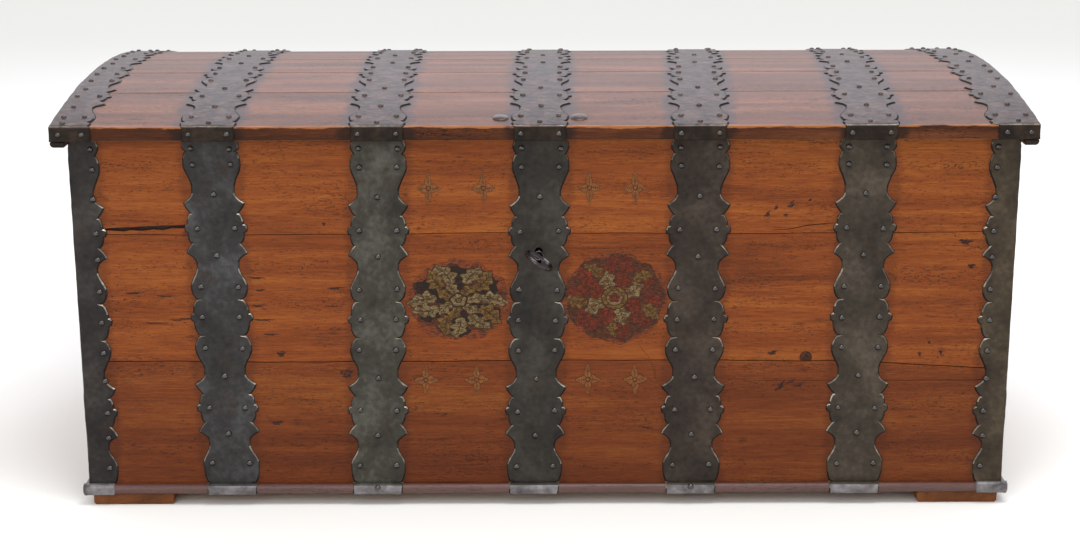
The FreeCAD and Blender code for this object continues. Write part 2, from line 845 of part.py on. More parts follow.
def lock_case():
    """Box lock on the inside of the front: plate, five-sided case, three bolt guides."""
    x = key_x()
    y0 = inner_front_y
    z0 = key_height - case_below_key
    z1 = case_top_z()
    outer = box(x - case_half_width, x + case_half_width, y0, y0 + case_depth, z0, z1)
    wall = case_wall
    inner = box(x - case_half_width + wall, x + case_half_width - wall, y0 + wall,
                y0 + case_depth - wall, z0 + wall, z1 - wall)
    margin = case_plate_margin
    plate = box(x - case_half_width - margin, x + case_half_width + margin, y0, y0 + wall,
                z0 - margin, z1)
    case = outer.cut(inner).fuse(plate)
    nose = bolt_nose_x()
    locked = nose + bolt_travel
    lugs = [lug(nose - bolt_nose_gap - lug_thickness), lug(locked - lug_thickness + bolt_clearance),
            lug(nose - bolt_length + bolt_travel + lug_thickness / 2)]
    case = case.fuse(lugs)
    case = case.cut(keyhole(y0, y0 + wall))
    case = case.cut(along_y(key_shank_radius + pin_clearance, y0 + wall, y0 + case_depth, x, key_height))
    half = staple_thickness / 2 + slot_margin
    mouth = box(staple_x() - half, staple_x() + half, y0 + wall, y0 + case_depth - wall, z1 - wall, z1)
    return case.cut(mouth).removeSplitter()


def lock_bolt():
    """Bolt drawn back, with an arm down to the key and a notch that the key's bit works in."""
    x = key_x()
    y0 = bolt_y()
    nose = bolt_nose_x()
    low = bolt_z() - bolt_height / 2
    bar = box(nose - bolt_length, nose, y0, y0 + bolt_thickness, low, low + bolt_height)
    reach = bit_reach * math.sin(math.radians(key_turn))
    middle = x - (reach + bolt_travel) / 2
    arm_low = key_height + talon_gap
    arm = box(middle - arm_width / 2, middle + arm_width / 2, y0, y0 + arm_thickness,
              arm_low, low + bolt_lap)
    notch = box(middle - talon_width / 2, middle + talon_width / 2, y0, y0 + arm_thickness,
                arm_low, arm_low + talon_depth)
    return bar.fuse(arm).cut(notch).removeSplitter()


def lid_staple():
    """Tongue under the lid with an eye for the bolt."""
    x = staple_x()
    y0 = bolt_y() + bolt_thickness / 2 - staple_width / 2
    y1 = y0 + staple_width
    half = staple_thickness / 2
    room = staple_eye_clearance
    eye_low = bolt_z() - bolt_height / 2 - room
    eye_high = bolt_z() + bolt_height / 2 + room
    low = eye_low - lug_wall
    tongue = box(x - half, x + half, y0, y1, low, lid_lip_height + lid_rise)
    tongue = tongue.common(along_x(under_radius, x - half, x + half, lid_middle_y, lid_centre_z))
    eye = box(x - half, x + half, bolt_y() - room, bolt_y() + bolt_thickness + room, eye_low, eye_high)
    reach = staple_plate_length / 2
    sheet = arch_shell(under_radius - staple_plate_thickness, under_radius, x - reach, x + reach)
    plate_y0 = inner_front_y + batten_gap
    plate = sheet.common(box(x - reach, x + reach, plate_y0, plate_y0 + staple_plate_depth,
                             lip_bottom_z, lid_lip_height + lid_rise))
    return tongue.cut(eye).fuse(plate).removeSplitter()


def hammered_oval(half_x, half_y):
    points = []
    for n in range(bow_facets):
        angle = 2 * math.pi * (n + 0.5) / bow_facets
        points.append((half_x * math.cos(angle), half_y * math.sin(angle), 0))
    return face_of(points)


def key():
    """Key lying in the lock: oval bow, collar, round shank and a bit in the bow's plane."""
    face = front_y - strap_thickness
    end = inner_front_y + case_depth
    ring = hammered_oval(bow_width / 2, bow_length / 2)
    ring = ring.cut(hammered_oval(bow_width / 2 - bow_bar, bow_length / 2 - bow_bar)).Faces[0]
    ring = ring.extrude(FreeCAD.Vector(0, 0, bow_thickness))
    ring.translate(FreeCAD.Vector(0, face - bow_start - bow_length / 2, -bow_thickness / 2))
    shank = along_y(key_shank_radius, face - bow_start - bow_bar / 2, end, 0, 0)
    collar_y = face - bow_start + collar_gap
    collar = along_y(collar_radius, collar_y, collar_y + collar_length, 0, 0)
    bit_y = bolt_y() + arm_thickness / 2 - bit_length / 2
    bit = box(-bit_reach, 0, bit_y, bit_y + bit_length, -bit_thickness / 2, bit_thickness / 2)
    ward = box(-bit_reach, -bit_reach + ward_reach, bit_y + bit_length - ward_length,
               bit_y + bit_length, -bit_thickness, bit_thickness)
    whole = ring.fuse([shank, collar, bit.cut(ward)])
    whole.rotate(FreeCAD.Vector(0, 0, 0), FreeCAD.Vector(0, 1, 0), key_rest_tilt)
    whole.translate(FreeCAD.Vector(key_x(), 0, key_height))
    return whole.removeSplitter()


# Handles at the ends


def handle_right():
    """Eight-sided bail hanging in its two eyes: straight runs joined by bends."""
    x = half_length + handle_stand_off
    middle_y = (front_y + back_y) / 2
    half = handle_span / 2
    low = handle_height - handle_drop
    tail = eye_spread + eye_thickness / 2 + handle_tail
    corners = [(middle_y - tail, handle_height), (middle_y - half, handle_height), (middle_y - half, low),
               (middle_y + half, low), (middle_y + half, handle_height), (middle_y + tail, handle_height)]
    path = forged_path([FreeCAD.Vector(x, y, z) for y, z in corners], handle_bend)
    section = []
    for n in range(handle_rod_flats + 1):
        angle = 2 * math.pi * (n + 0.5) / handle_rod_flats
        section.append(path.Vertexes[0].Point + FreeCAD.Vector(handle_rod_radius * math.cos(angle), 0,
                                                               handle_rod_radius * math.sin(angle)))
    return path.makePipeShell([Part.makePolygon(section)], True, False, 1)


def forged_path(corners, radius):
    """Straight runs, every right-angled corner bent over the anvil in equal short blows."""
    points = [corners[0]]
    for n in range(1, len(corners) - 1):
        into = (corners[n] - corners[n - 1]).normalize()
        out = (corners[n + 1] - corners[n]).normalize()
        centre = corners[n] - into * radius + out * radius
        for blow in range(handle_bend_blows + 1):
            angle = math.pi / 2 * blow / handle_bend_blows
            points.append(centre - out * (radius * math.cos(angle)) + into * (radius * math.sin(angle)))
    points.append(corners[-1])
    return Part.makePolygon(points)


def handle_eyes_right():
    """Two plates on the end wall, each with a lug bored for the bail."""
    eyes = []
    middle_y = (front_y + back_y) / 2
    axis_x = half_length + handle_stand_off
    bore = handle_rod_radius + pin_clearance
    outer = bore + eye_wall
    for side in (-1, 1):
        y = middle_y + side * eye_spread
        y0 = y - eye_thickness / 2
        y1 = y + eye_thickness / 2
        plate = box(half_length, half_length + eye_plate_thickness, y - eye_plate_width / 2,
                    y + eye_plate_width / 2, handle_height - eye_plate_height / 2,
                    handle_height + eye_plate_height / 2)
        rim = hammered_ring(outer, eye_flats, axis_x, handle_height)
        flat = outer * math.sin(math.pi / eye_flats)
        lug_root = box(half_length, axis_x, y0, y1, handle_height - flat, handle_height + flat)
        lug_round = face_of([(x, y0, z) for x, z in rim]).extrude(FreeCAD.Vector(0, y1 - y0, 0))
        eye = plate.fuse([lug_root, lug_round]).cut(along_y(bore, y0, y1, axis_x, handle_height))
        eyes.append(eye.removeSplitter())
    return Part.makeCompound(eyes)


# Till


def till_front():
    x1 = -inner_half_length + till_width
    low = till_top_height - till_depth
    return box(x1 - till_board, x1, inner_front_y, inner_back_y, low, till_top_height)


def till_bottom():
    x1 = -inner_half_length + till_width - till_board
    low = till_top_height - till_depth
    return box(-inner_half_length, x1, inner_front_y, inner_back_y, low, low + till_board)


def till_lid():
    """Thin board with a rounded hinge edge and a turned pin at each end of it."""
    x, z = till_pin_axis()
    half = till_lid_thickness / 2
    y0 = inner_front_y + till_lid_gap
    y1 = inner_back_y - till_lid_gap
    x1 = -inner_half_length + till_width
    board = box(x, x1, y0, y1, z - half, z + half)
    edge = along_y(half, y0, y1, x, z)
    pin = along_y(till_pin_radius, inner_front_y - till_pin_length, inner_back_y + till_pin_length, x, z)
    return board.fuse([edge, pin]).removeSplitter()


def all_nodes():
    nodes = {}
    nodes.update(front_boards())
    nodes.update(back_boards())
    nodes["bottom_boards"] = bottom_boards()
    nodes.update(base_mouldings())
    nodes.update(front_straps())
    nodes.update(back_straps())
    nodes["hinge_pins"] = hinge_pins()
    nodes["body_strap_nails"] = body_strap_nails()
    nodes.update(lid_boards())
    nodes.update(lid_straps())
    nodes["lid_strap_nails"] = lid_strap_nails()
    nodes["lid_clout_heads"] = lid_clout_heads()
    nodes["lid_staple"] = lid_staple()
    nodes["lock_case"] = lock_case()
    nodes["lock_bolt"] = lock_bolt()
    nodes["key"] = key()
    nodes["till_front"] = till_front()
    nodes["till_bottom"] = till_bottom()
    nodes["till_lid"] = till_lid()
    pairs = (
        ("right_end_boards", "left_end_boards", right_end_boards),
        ("skid_right", "skid_left", right_skid),
        ("corner_strap_front_right", "corner_strap_front_left", corner_strap_front_right),
        ("corner_strap_back_right", "corner_strap_back_left", corner_strap_back_right),
        ("lid_batten_right", "lid_batten_left", lid_batten_right),
        ("lid_strap_right_end", "lid_strap_left_end", lid_strap_right_end),
        ("handle_right", "handle_left", handle_right),
        ("handle_eyes_right", "handle_eyes_left", handle_eyes_right),
    )
    for right_name, left_name, make_right in pairs:
        nodes[right_name] = make_right()
        nodes[left_name] = mirrored_x(nodes[right_name])
    return nodes


os.makedirs("parts", exist_ok=True)
for node_name, node_shape in all_nodes().items():
    node_shape.exportStep("parts/" + node_name + ".step")
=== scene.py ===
import json
import math
import random

import bmesh
import bpy
from mathutils import Matrix, Vector

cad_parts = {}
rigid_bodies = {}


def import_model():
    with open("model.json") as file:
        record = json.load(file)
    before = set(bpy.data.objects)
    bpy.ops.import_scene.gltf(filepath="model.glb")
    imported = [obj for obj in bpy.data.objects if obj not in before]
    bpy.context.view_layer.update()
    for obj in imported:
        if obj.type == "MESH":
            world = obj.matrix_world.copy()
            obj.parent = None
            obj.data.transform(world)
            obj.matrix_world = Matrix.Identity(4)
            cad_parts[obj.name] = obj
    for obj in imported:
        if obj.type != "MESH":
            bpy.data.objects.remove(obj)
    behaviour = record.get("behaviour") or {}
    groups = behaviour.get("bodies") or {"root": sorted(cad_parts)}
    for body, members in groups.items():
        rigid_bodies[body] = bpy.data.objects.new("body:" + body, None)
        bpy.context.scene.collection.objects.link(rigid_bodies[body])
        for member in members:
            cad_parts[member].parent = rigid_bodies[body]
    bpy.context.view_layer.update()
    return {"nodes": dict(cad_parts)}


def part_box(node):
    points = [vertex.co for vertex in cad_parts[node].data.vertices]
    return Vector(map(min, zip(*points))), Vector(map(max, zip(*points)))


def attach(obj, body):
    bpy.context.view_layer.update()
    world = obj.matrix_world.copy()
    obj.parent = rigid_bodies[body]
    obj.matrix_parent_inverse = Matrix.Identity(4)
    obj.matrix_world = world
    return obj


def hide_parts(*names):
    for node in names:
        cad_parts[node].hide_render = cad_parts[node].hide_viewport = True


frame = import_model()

# Finishes, straps, nails, boards, painted medallions, key and handles of an oak sea chest. Metres.

print("Chest: frame loaded,", len(frame["nodes"]), "nodes")

mm = 0.001
strapNames = ["left_outer", "left_inner", "centre", "right_inner", "right_outer"]
sides = (("left", -1), ("right", 1))

# Faces that everything else is set against, read from the frame
faces = {
    "frontY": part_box("front_board_middle")[0].y,
    "backY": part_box("back_board_middle")[1].y,
    "endX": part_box("front_board_middle")[1].x,
    "lidFrontY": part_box("lid_board_front")[0].y,
    "lidBackY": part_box("lid_board_rear")[1].y,
    "lidEndX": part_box("lid_board_crest")[1].x,
    "lipBottomZ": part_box("lid_board_front")[0].z,
    "strapTopZ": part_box("front_strap_left_inner")[1].z,
    "mouldingTopZ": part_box("base_moulding_front")[1].z,
    "mouldingBottomZ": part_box("base_moulding_front")[0].z,
    "mouldingFrontY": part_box("base_moulding_front")[0].y,
}
lidArch = {"lipTopZ": 0.619, "rise": 0.035}
lidArch["halfDepth"] = (faces["lidBackY"] - faces["lidFrontY"]) / 2
lidArch["middleY"] = (faces["lidBackY"] + faces["lidFrontY"]) / 2
lidArch["radius"] = (lidArch["halfDepth"] ** 2 + lidArch["rise"] ** 2) / (2 * lidArch["rise"])
lidArch["centreZ"] = lidArch["lipTopZ"] + lidArch["rise"] - lidArch["radius"]
lidArch["halfAngle"] = math.asin(lidArch["halfDepth"] / lidArch["radius"])
lidArch["arc"] = 2 * lidArch["halfAngle"] * lidArch["radius"]
# where the key goes through the front
keyPlace = {"x": -0.0091, "z": 0.418}


def deselectAll():
    bpy.ops.object.select_all(action="DESELECT")


def activate(piece):
    deselectAll()
    piece.select_set(True)
    bpy.context.view_layer.objects.active = piece


def newPiece(name):
    # the primitive that was just added, under its own name
    piece = bpy.context.object
    piece.name = name
    piece.data.name = name
    return piece


def settle(piece):
    activate(piece)
    bpy.ops.object.transform_apply(location=True, rotation=True, scale=True)


def finish(piece, body, slot, replaced=(), smoothDegrees=35):
    activate(piece)
    bpy.ops.object.shade_smooth_by_angle(angle=math.radians(smoothDegrees))
    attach(piece, body)
    if replaced:
        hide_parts(*replaced)
    return piece


def joined(name, parts):
    deselectAll()
    for part in parts:
        part.select_set(True)
    bpy.context.view_layer.objects.active = parts[0]
    bpy.ops.object.join()
    return newPiece(name)


def addModifier(piece, kind, **settings):
    modifier = piece.modifiers.new(kind.lower(), kind)
    for name, value in settings.items():
        setattr(modifier, name, value)
    activate(piece)
    bpy.ops.object.modifier_apply(modifier=modifier.name)


def copyOf(piece, name):
    twin = piece.copy()
    twin.data = piece.data.copy()
    twin.name = name
    twin.data.name = name
    bpy.context.collection.objects.link(twin)
    return twin


def refined(node, edge, segments=2, cuts=(), move=None):
    # a CAD node's own shape with its triangles merged, cut across where asked, its corners moved
    # and its edges eased
    twin = copyOf(frame["nodes"][node], node + "_eased")
    twin.parent = None
    for key in list(twin.keys()):
        del twin[key]
    activate(twin)
    bpy.ops.object.mode_set(mode="EDIT")
    bpy.ops.mesh.select_all(action="SELECT")
    bpy.ops.mesh.remove_doubles(threshold=0.00002)
    bpy.ops.mesh.dissolve_limited(angle_limit=math.radians(0.5))
    for x in cuts:
        bpy.ops.mesh.select_all(action="SELECT")
        bpy.ops.mesh.bisect(plane_co=(x, 0, 0), plane_no=(1, 0, 0))
    if move:
        moved(twin, move)
    bpy.ops.object.mode_set(mode="OBJECT")
    addModifier(twin, "BEVEL", width=edge, segments=segments, limit_method="ANGLE",
                angle_limit=math.radians(38))
    twin.data.materials.clear()
    return twin


def moved(piece, rule):
    # in edit mode: every corner goes where the rule sends it
    mesh = bmesh.from_edit_mesh(piece.data)
    for vertex in mesh.verts:
        vertex.co = rule(vertex.co)
    bmesh.update_edit_mesh(piece.data)


def linear(hexColour):
    channels = [int(hexColour[n:n + 2], 16) / 255 for n in (1, 3, 5)]
    return [c / 12.92 if c <= 0.04045 else ((c + 0.055) / 1.055) ** 2.4 for c in channels] + [1.0]


def addNode(tree, kind, settings=None, links=None):
    node = tree.nodes.new(kind)
    for name, value in (settings or {}).items():
        if name == "stops":
            ramp = node.color_ramp
            while len(ramp.elements) < len(value):
                ramp.elements.new(0.5)
            for element, (position, colour) in zip(ramp.elements, value):
                element.position = position
                element.color = colour if isinstance(colour, list) else [colour] * 3 + [1.0]
        elif isinstance(name, int) or name in node.inputs:
            node.inputs[name].default_value = value
        else:
            setattr(node, name, value)
    for socket, source in (links or {}).items():
        tree.links.new(source, node.inputs[socket])
    return node


def mixColour(tree, factor, first, second, blend="MIX"):
    node = addNode(tree, "ShaderNodeMix", {"data_type": "RGBA", "blend_type": blend})
    for socket, value in ((0, factor), (6, first), (7, second)):
        if hasattr(value, "node"):
            tree.links.new(value, node.inputs[socket])
        else:
            node.inputs[socket].default_value = value
    return node.outputs[2]


def calc(tree, operation, *values):
    node = addNode(tree, "ShaderNodeMath", {"operation": operation})
    for socket, value in enumerate(values):
        if hasattr(value, "node"):
            tree.links.new(value, node.inputs[socket])
        else:
            node.inputs[socket].default_value = value
    return node.outputs[0]


def noiseOn(tree, place, sizes, offset=(0, 0, 0), detail=4.0, rough=0.5, distortion=0.0):
    # noise whose features are about sizes (millimetres) long in X, Y and Z
    spread = addNode(tree, "ShaderNodeMapping",
                     {"Scale": [1 / (size * mm) for size in sizes], "Location": list(offset)},
                     {"Vector": place})
    noise = addNode(tree, "ShaderNodeTexNoise",
                    {"Scale": 1.0, "Detail": detail, "Roughness": rough, "Distortion": distortion},
                    {"Vector": spread.outputs["Vector"]})
    return noise.outputs["Fac"]


def between(tree, value, low, high, first=0.0, last=1.0):
    node = addNode(tree, "ShaderNodeMapRange",
                   {"interpolation_type": "SMOOTHSTEP", "From Min": low, "From Max": high,
                    "To Min": first, "To Max": last}, {"Value": value})
    return node.outputs["Result"]


def strapLines(topShift, footShift, spacing, start, end):
    # centre lines of the straps: place at start and lean along the way
    lines = []
    for n in range(len(strapNames)):
        first = (n - 2) * spacing + topShift[n] * mm
        last = (n - 2) * spacing + footShift[n] * mm
        lines.append((first, (last - first) / (end - start), start))
    return lines


strapLayout = {
    "spacing": 0.252,
    "frontTop": (-7, -2, -5, -13, -9),
    "frontFoot": (4, -15, -18, -20, -11),
    "lidFront": (-6, -2, -7, -16, -9),
    "lidRear": (-10, -8, 3, 24, 29),
}
frontLines = strapLines(strapLayout["frontTop"], strapLayout["frontFoot"], strapLayout["spacing"],
                        faces["strapTopZ"], faces["mouldingTopZ"])
lidLines = strapLines(strapLayout["lidFront"], strapLayout["lidRear"], strapLayout["spacing"],
                      faces["lidFrontY"], faces["lidBackY"])


def distanceFromStraps(tree, place, lines, along, endX):
    # metres from the nearest strap's centre line or from the corner
    parts = addNode(tree, "ShaderNodeSeparateXYZ", {}, {"Vector": place}).outputs
    x = parts["X"]
    nearest = calc(tree, "SUBTRACT", endX, calc(tree, "ABSOLUTE", x))
    for first, lean, start in lines:
        centre = calc(tree, "MULTIPLY_ADD", parts[along], lean, first - lean * start)
        gap = calc(tree, "ABSOLUTE", calc(tree, "SUBTRACT", x, centre))
        nearest = calc(tree, "MINIMUM", nearest, gap)
    return nearest


def newMaterial(name):
    material = bpy.data.materials.new(name)
    material.use_nodes = True
    return material, material.node_tree, material.node_tree.nodes["Principled BSDF"]


def oak(look):
    # Oak, planed and oiled or waxed: warm brown with long straight fibres, short dark open pores,
    # broad tonal bands along each board and a satin, slightly uneven sheen.
    material, tree, shader = newMaterial(look["name"])
    place = addNode(tree, "ShaderNodeTexCoord").outputs["Object"]
    grain = look["grain"]

    def sized(length, width):
        sizes = [width] * 3
        sizes[grain] = length
        return sizes

    seed = look.get("seed", 0) * 7.3
    bands = noiseOn(tree, place, sized(700, 46), (seed, 1.3, seed), 3.0, 0.5, 0.8)
    streaks = noiseOn(tree, place, sized(70, 3.4), (1.7, seed, 3.1), 6.0, 0.68, 0.5)
    fibres = noiseOn(tree, place, sized(22, 1.6), (seed, 5.9, 0.4), 4.0, 0.7)
    figure = calc(tree, "ADD", calc(tree, "MULTIPLY", bands, 0.40), calc(tree, "MULTIPLY", streaks, 0.32))
    figure = calc(tree, "MULTIPLY_ADD", fibres, 0.28, figure)
    colour = addNode(tree, "ShaderNodeValToRGB",
                     {"stops": [(0.36, linear(look["dark"])), (0.50, linear(look["mid"])),
                                (0.64, linear(look["light"]))]}, {"Fac": figure}).outputs["Color"]
    # open pores: short dark dashes, thicker in some stretches
    pores = noiseOn(tree, place, sized(9, 1.5), (2.2, 0.8, seed), 3.0, 0.6)
    crowd = noiseOn(tree, place, sized(240, 30), (seed, 4.4, 6.1), 2.0, 0.5)
    poreMask = between(tree, calc(tree, "MULTIPLY_ADD", crowd, 0.30, pores), 0.74, 0.82)
    colour = mixColour(tree, calc(tree, "MULTIPLY", poreMask, look.get("pores", 0.6)), colour,
                       linear(look["pore"]))
    # specks: dents, worm holes and ink-dark dots in loose swarms
    specks = noiseOn(tree, place, sized(4.5, 2.6), (seed, 7.7, 2.1), 1.5, 0.5)
    speckMask = between(tree, calc(tree, "MULTIPLY_ADD", crowd, 0.36, specks), 0.86, 0.92)
    colour = mixColour(tree, calc(tree, "MULTIPLY", speckMask, look.get("specks", 0.8)), colour,
                       linear(look["pore"]))
    # grime: soft blotches, some stretched along the fibres
    grime = noiseOn(tree, place, sized(60, 16), (seed, 9.1, 2.7), 6.0, 0.7)
    grimeMask = between(tree, grime, 0.58, 0.74)
    colour = mixColour(tree, calc(tree, "MULTIPLY", grimeMask, look.get("grime", 0.5)), colour,
                       linear(look["pore"]))
    if "straps" in look:
        # iron in the damp wood blackens it beside each strap
        gap = distanceFromStraps(tree, place, look["straps"], look["strapAxis"], look["strapEnd"])
        uneven = noiseOn(tree, place, sized(60, 30), (0.3, seed, 5.5), 4.0, 0.6)
        gap = calc(tree, "MULTIPLY_ADD", uneven, -look["stainWander"], gap)
        near = look["stainWander"] / 2
        stain = between(tree, gap, look["stainFrom"] - near, look["stainTo"] - near, 1.0, 0.0)
        colour = mixColour(tree, calc(tree, "MULTIPLY", stain, look["stainStrength"]), colour,
                           linear(look["stain"]))
    if "rubbedAndLit" in look:
        # the front corner of the lid, rubbed down to paler wood by hands and painted lighter still as a
        # highlight along the edge
        parts = addNode(tree, "ShaderNodeSeparateXYZ", {}, {"Vector": place}).outputs
        inward = calc(tree, "SUBTRACT", parts["Y"], faces["lidFrontY"])
        down = calc(tree, "SUBTRACT", parts["Z"], lidArch["lipTopZ"])
        off = calc(tree, "ADD", calc(tree, "ABSOLUTE", inward), calc(tree, "ABSOLUTE", down))
        ragged = noiseOn(tree, place, sized(38, 7), (3.3, seed, 9.1), 4.0, 0.6)
        off = calc(tree, "MULTIPLY_ADD", ragged, 0.016, off)
        rubAndLight = between(tree, off, 0.0095, 0.0120, 1.0, 0.0)
        colour = mixColour(tree, calc(tree, "MULTIPLY", rubAndLight, 0.8), colour, linear(look["rubbedAndLit"]))
    if "shadeFrom" in look:
        # the boards are darker towards the bottom
        height = addNode(tree, "ShaderNodeSeparateXYZ", {}, {"Vector": place}).outputs["Z"]
        low = between(tree, height, look["shadeTo"], look["shadeFrom"], 1.0, 0.0)
        colour = mixColour(tree, calc(tree, "MULTIPLY", low, look["shadeStrength"]), colour,
                           linear(look["shade"]), "MULTIPLY")
    tree.links.new(colour, shader.inputs["Base Color"])
    sheen = calc(tree, "MULTIPLY_ADD", streaks, 0.24, look["roughness"] - 0.12)
    tree.links.new(sheen, shader.inputs["Roughness"])
    shader.inputs["IOR"].default_value = 1.5
    shader.inputs["Specular IOR Level"].default_value = look.get("gloss", 0.3)
    relief = calc(tree, "SUBTRACT", calc(tree, "MULTIPLY", streaks, 0.5),
                  calc(tree, "MULTIPLY", poreMask, 0.5))
    relief = calc(tree, "MULTIPLY_ADD", fibres, 0.25, relief)
    bump = addNode(tree, "ShaderNodeBump", {"Strength": 0.5, "Distance": 0.0006},
                   {"Height": relief})
    tree.links.new(bump.outputs["Normal"], shader.inputs["Normal"])
    return material


def iron(look):
    # Wrought iron, hammered to sheet and waxed: dark oxide skin, softly mottled, low hammer
    # dimples, fine pitting and a dull metallic sheen.
    material, tree, shader = newMaterial(look["name"])
    place = addNode(tree, "ShaderNodeTexCoord").outputs["Object"]
    clouds = noiseOn(tree, place, [look["cloud"]] * 3, (4.1, 2.2, 7.7), 4.0, 0.55, 0.4)
    mottle = noiseOn(tree, place, [9.0] * 3, (1.1, 6.2, 0.7), 5.0, 0.6)
    tone = calc(tree, "MULTIPLY_ADD", mottle, 0.35, calc(tree, "MULTIPLY", clouds, 0.65))
    colour = addNode(tree, "ShaderNodeValToRGB",
                     {"stops": [(0.36, linear(look["dark"])), (0.50, linear(look["mid"])),
                                (0.66, linear(look["light"]))]}, {"Fac": tone}).outputs["Color"]
    pits = noiseOn(tree, place, [2.4] * 3, (8.3, 3.2, 1.9), 3.0, 0.6)
    pitMask = between(tree, pits, 0.62, 0.72)
    colour = mixColour(tree, calc(tree, "MULTIPLY", pitMask, look.get("pits", 0.45)), colour,
                       linear(look["pit"]))
    rust = noiseOn(tree, place, [38.0] * 3, (2.9, 9.4, 3.3), 5.0, 0.62)
    rustMask = between(tree, rust, 0.58, 0.72)
    colour = mixColour(tree, calc(tree, "MULTIPLY", rustMask, look.get("rust", 0.3)), colour,
                       linear(look["rustColour"]))
    tree.links.new(colour, shader.inputs["Base Color"])
    shader.inputs["Metallic"].default_value = look["metallic"]
    shader.inputs["Specular IOR Level"].default_value = look.get("gloss", 0.3)
    sheen = calc(tree, "MULTIPLY_ADD", mottle, 0.30, look["roughness"] - 0.15)
    tree.links.new(sheen, shader.inputs["Roughness"])
    dimples = noiseOn(tree, place, [look.get("dimple", 16.0)] * 3, (0.6, 3.5, 8.8), 1.0, 0.4)
    relief = calc(tree, "MULTIPLY_ADD", pits, -0.12, dimples)
    bump = addNode(tree, "ShaderNodeBump", {"Strength": 0.6, "Distance": look.get("hammer", 0.0010)},
                   {"Height": relief})
    tree.links.new(bump.outputs["Normal"], shader.inputs["Normal"])
    return material


def oldPaint(look):
    # Oil paint on bare oak, more than three centuries old: matt, thin, crazed and rubbed through
    # to the wood in small flecks that follow the grain.
    material, tree, shader = newMaterial(look["name"])
    place = addNode(tree, "ShaderNodeTexCoord").outputs["Object"]
    tone = noiseOn(tree, place, [5.0] * 3, (3.1, 0.4, 8.2), 4.0, 0.6)
    colour = addNode(tree, "ShaderNodeValToRGB",
                     {"stops": [(0.34, linear(look["dark"])), (0.62, linear(look["light"]))]},
                     {"Fac": tone}).outputs["Color"]
    flecks = noiseOn(tree, place, [7.0, 2.2, 1.6], (6.6, 1.2, 0.7), 4.0, 0.65)
    worn = between(tree, flecks, look["wearFrom"], look["wearFrom"] + 0.07)
    colour = mixColour(tree, calc(tree, "MULTIPLY", worn, look["wear"]), colour, linear(look["under"]))
    crazing = addNode(tree, "ShaderNodeTexVoronoi", {"feature": "DISTANCE_TO_EDGE", "Scale": 1 / (3.0 * mm)},
                      {"Vector": place}).outputs["Distance"]
    cracks = between(tree, crazing, 0.0, 0.07, 1.0, 0.0)
    colour = mixColour(tree, calc(tree, "MULTIPLY", cracks, 0.45), colour, linear("#20110a"))
    tree.links.new(colour, shader.inputs["Base Color"])
    shader.inputs["Roughness"].default_value = 0.62
    shader.inputs["Specular IOR Level"].default_value = 0.2
    bump = addNode(tree, "ShaderNodeBump", {"Strength": 0.4, "Distance": 0.0002}, {"Height": crazing})
    tree.links.new(bump.outputs["Normal"], shader.inputs["Normal"])
    return material


frontLook = {"grain": 0, "light": "#985420", "mid": "#7d3e16", "dark": "#5e2a0f",
             "pore": "#2a1208", "roughness": 0.52, "gloss": 0.16, "straps": frontLines, "strapAxis": "Z",
             "strapEnd": faces["endX"], "stainFrom": 0.042, "stainTo": 0.056, "stainWander": 0.030,
             "stainStrength": 0.40, "stain": "#3e1c0d", "shade": "#8f6a50", "shadeFrom": 0.30,
             "shadeTo": 0.02, "shadeStrength": 0.30}
# light, mid and dark of each front board, how grimy and how specked, from the bottom up
boardTones = [("#80481b", "#693212", "#4a210b", 0.70, 0.9), ("#8c4e1d", "#733814", "#53260c", 0.68, 1.0),
              ("#935420", "#793d16", "#5b290e", 0.50, 0.8)]
lidLook = {"grain": 0, "light": "#89583e", "mid": "#633a28", "dark": "#3a2017",
           "pore": "#1c0e0a", "pores": 0.9, "specks": 1.0, "grime": 0.65, "roughness": 0.46, "gloss": 0.36,
           "straps": lidLines, "strapAxis": "Y", "strapEnd": faces["lidEndX"], "stainFrom": 0.044,
           "stainTo": 0.062, "stainWander": 0.050, "stainStrength": 0.75, "stain": "#302b32",
           "rubbedAndLit": "#a0663c"}
print("Chest: making materials")
frontOaks = [oak({**frontLook, "name": "oiledOakFront" + str(n), "seed": n, "light": light, "mid": mid,
                  "dark": dark, "grime": grime, "specks": specks})
             for n, (light, mid, dark, grime, specks) in enumerate(boardTones)]
lidOaks = [oak({**lidLook, "name": "waxedOakLid" + str(n), "seed": n + 4}) for n in range(5)]
lipOak = oak({**lidLook, "name": "handledOakLip", "seed": 25, "light": "#683a20", "mid": "#472412",
              "dark": "#28140b", "pore": "#180c07", "gloss": 0.12, "roughness": 0.5, "stain": "#1d1411",
              "stainTo": 0.060, "stainWander": 0.050})
# painted shade for the walls inside the splits in the front
splitShadeOak = oak({"name": "darkOakEndGrain", "grain": 2, "light": "#3c261c", "mid": "#2a1a14",
                   "dark": "#1c120e", "pore": "#0e0806", "roughness": 0.55, "gloss": 0.2, "seed": 31})
endOak = oak({**frontLook, "name": "oiledOakEnd", "grain": 1, "seed": 11, "stainStrength": 0.0})
mouldingOak = oak({"name": "waxedOakMoulding", "grain": 0, "light": "#66433d", "mid": "#543733",
                   "dark": "#3c2622", "pore": "#1c100e", "roughness": 0.45, "gloss": 0.5, "seed": 3})
skidOak = oak({"name": "bareOakSkid", "grain": 1, "light": "#7c4c28", "mid": "#683b1c", "dark": "#4f2c15",
               "pore": "#28150a", "roughness": 0.62, "gloss": 0.2, "seed": 5})
dryLook = {"light": "#b98f5f", "mid": "#a0764a", "dark": "#7f5a36", "pore": "#4a3018", "roughness": 0.68,
           "gloss": 0.2}
innerOak = oak({**dryLook, "name": "dryOakInside", "grain": 0, "seed": 6})
innerCrossOak = oak({**dryLook, "name": "dryOakInsideAcross", "grain": 1, "seed": 8})
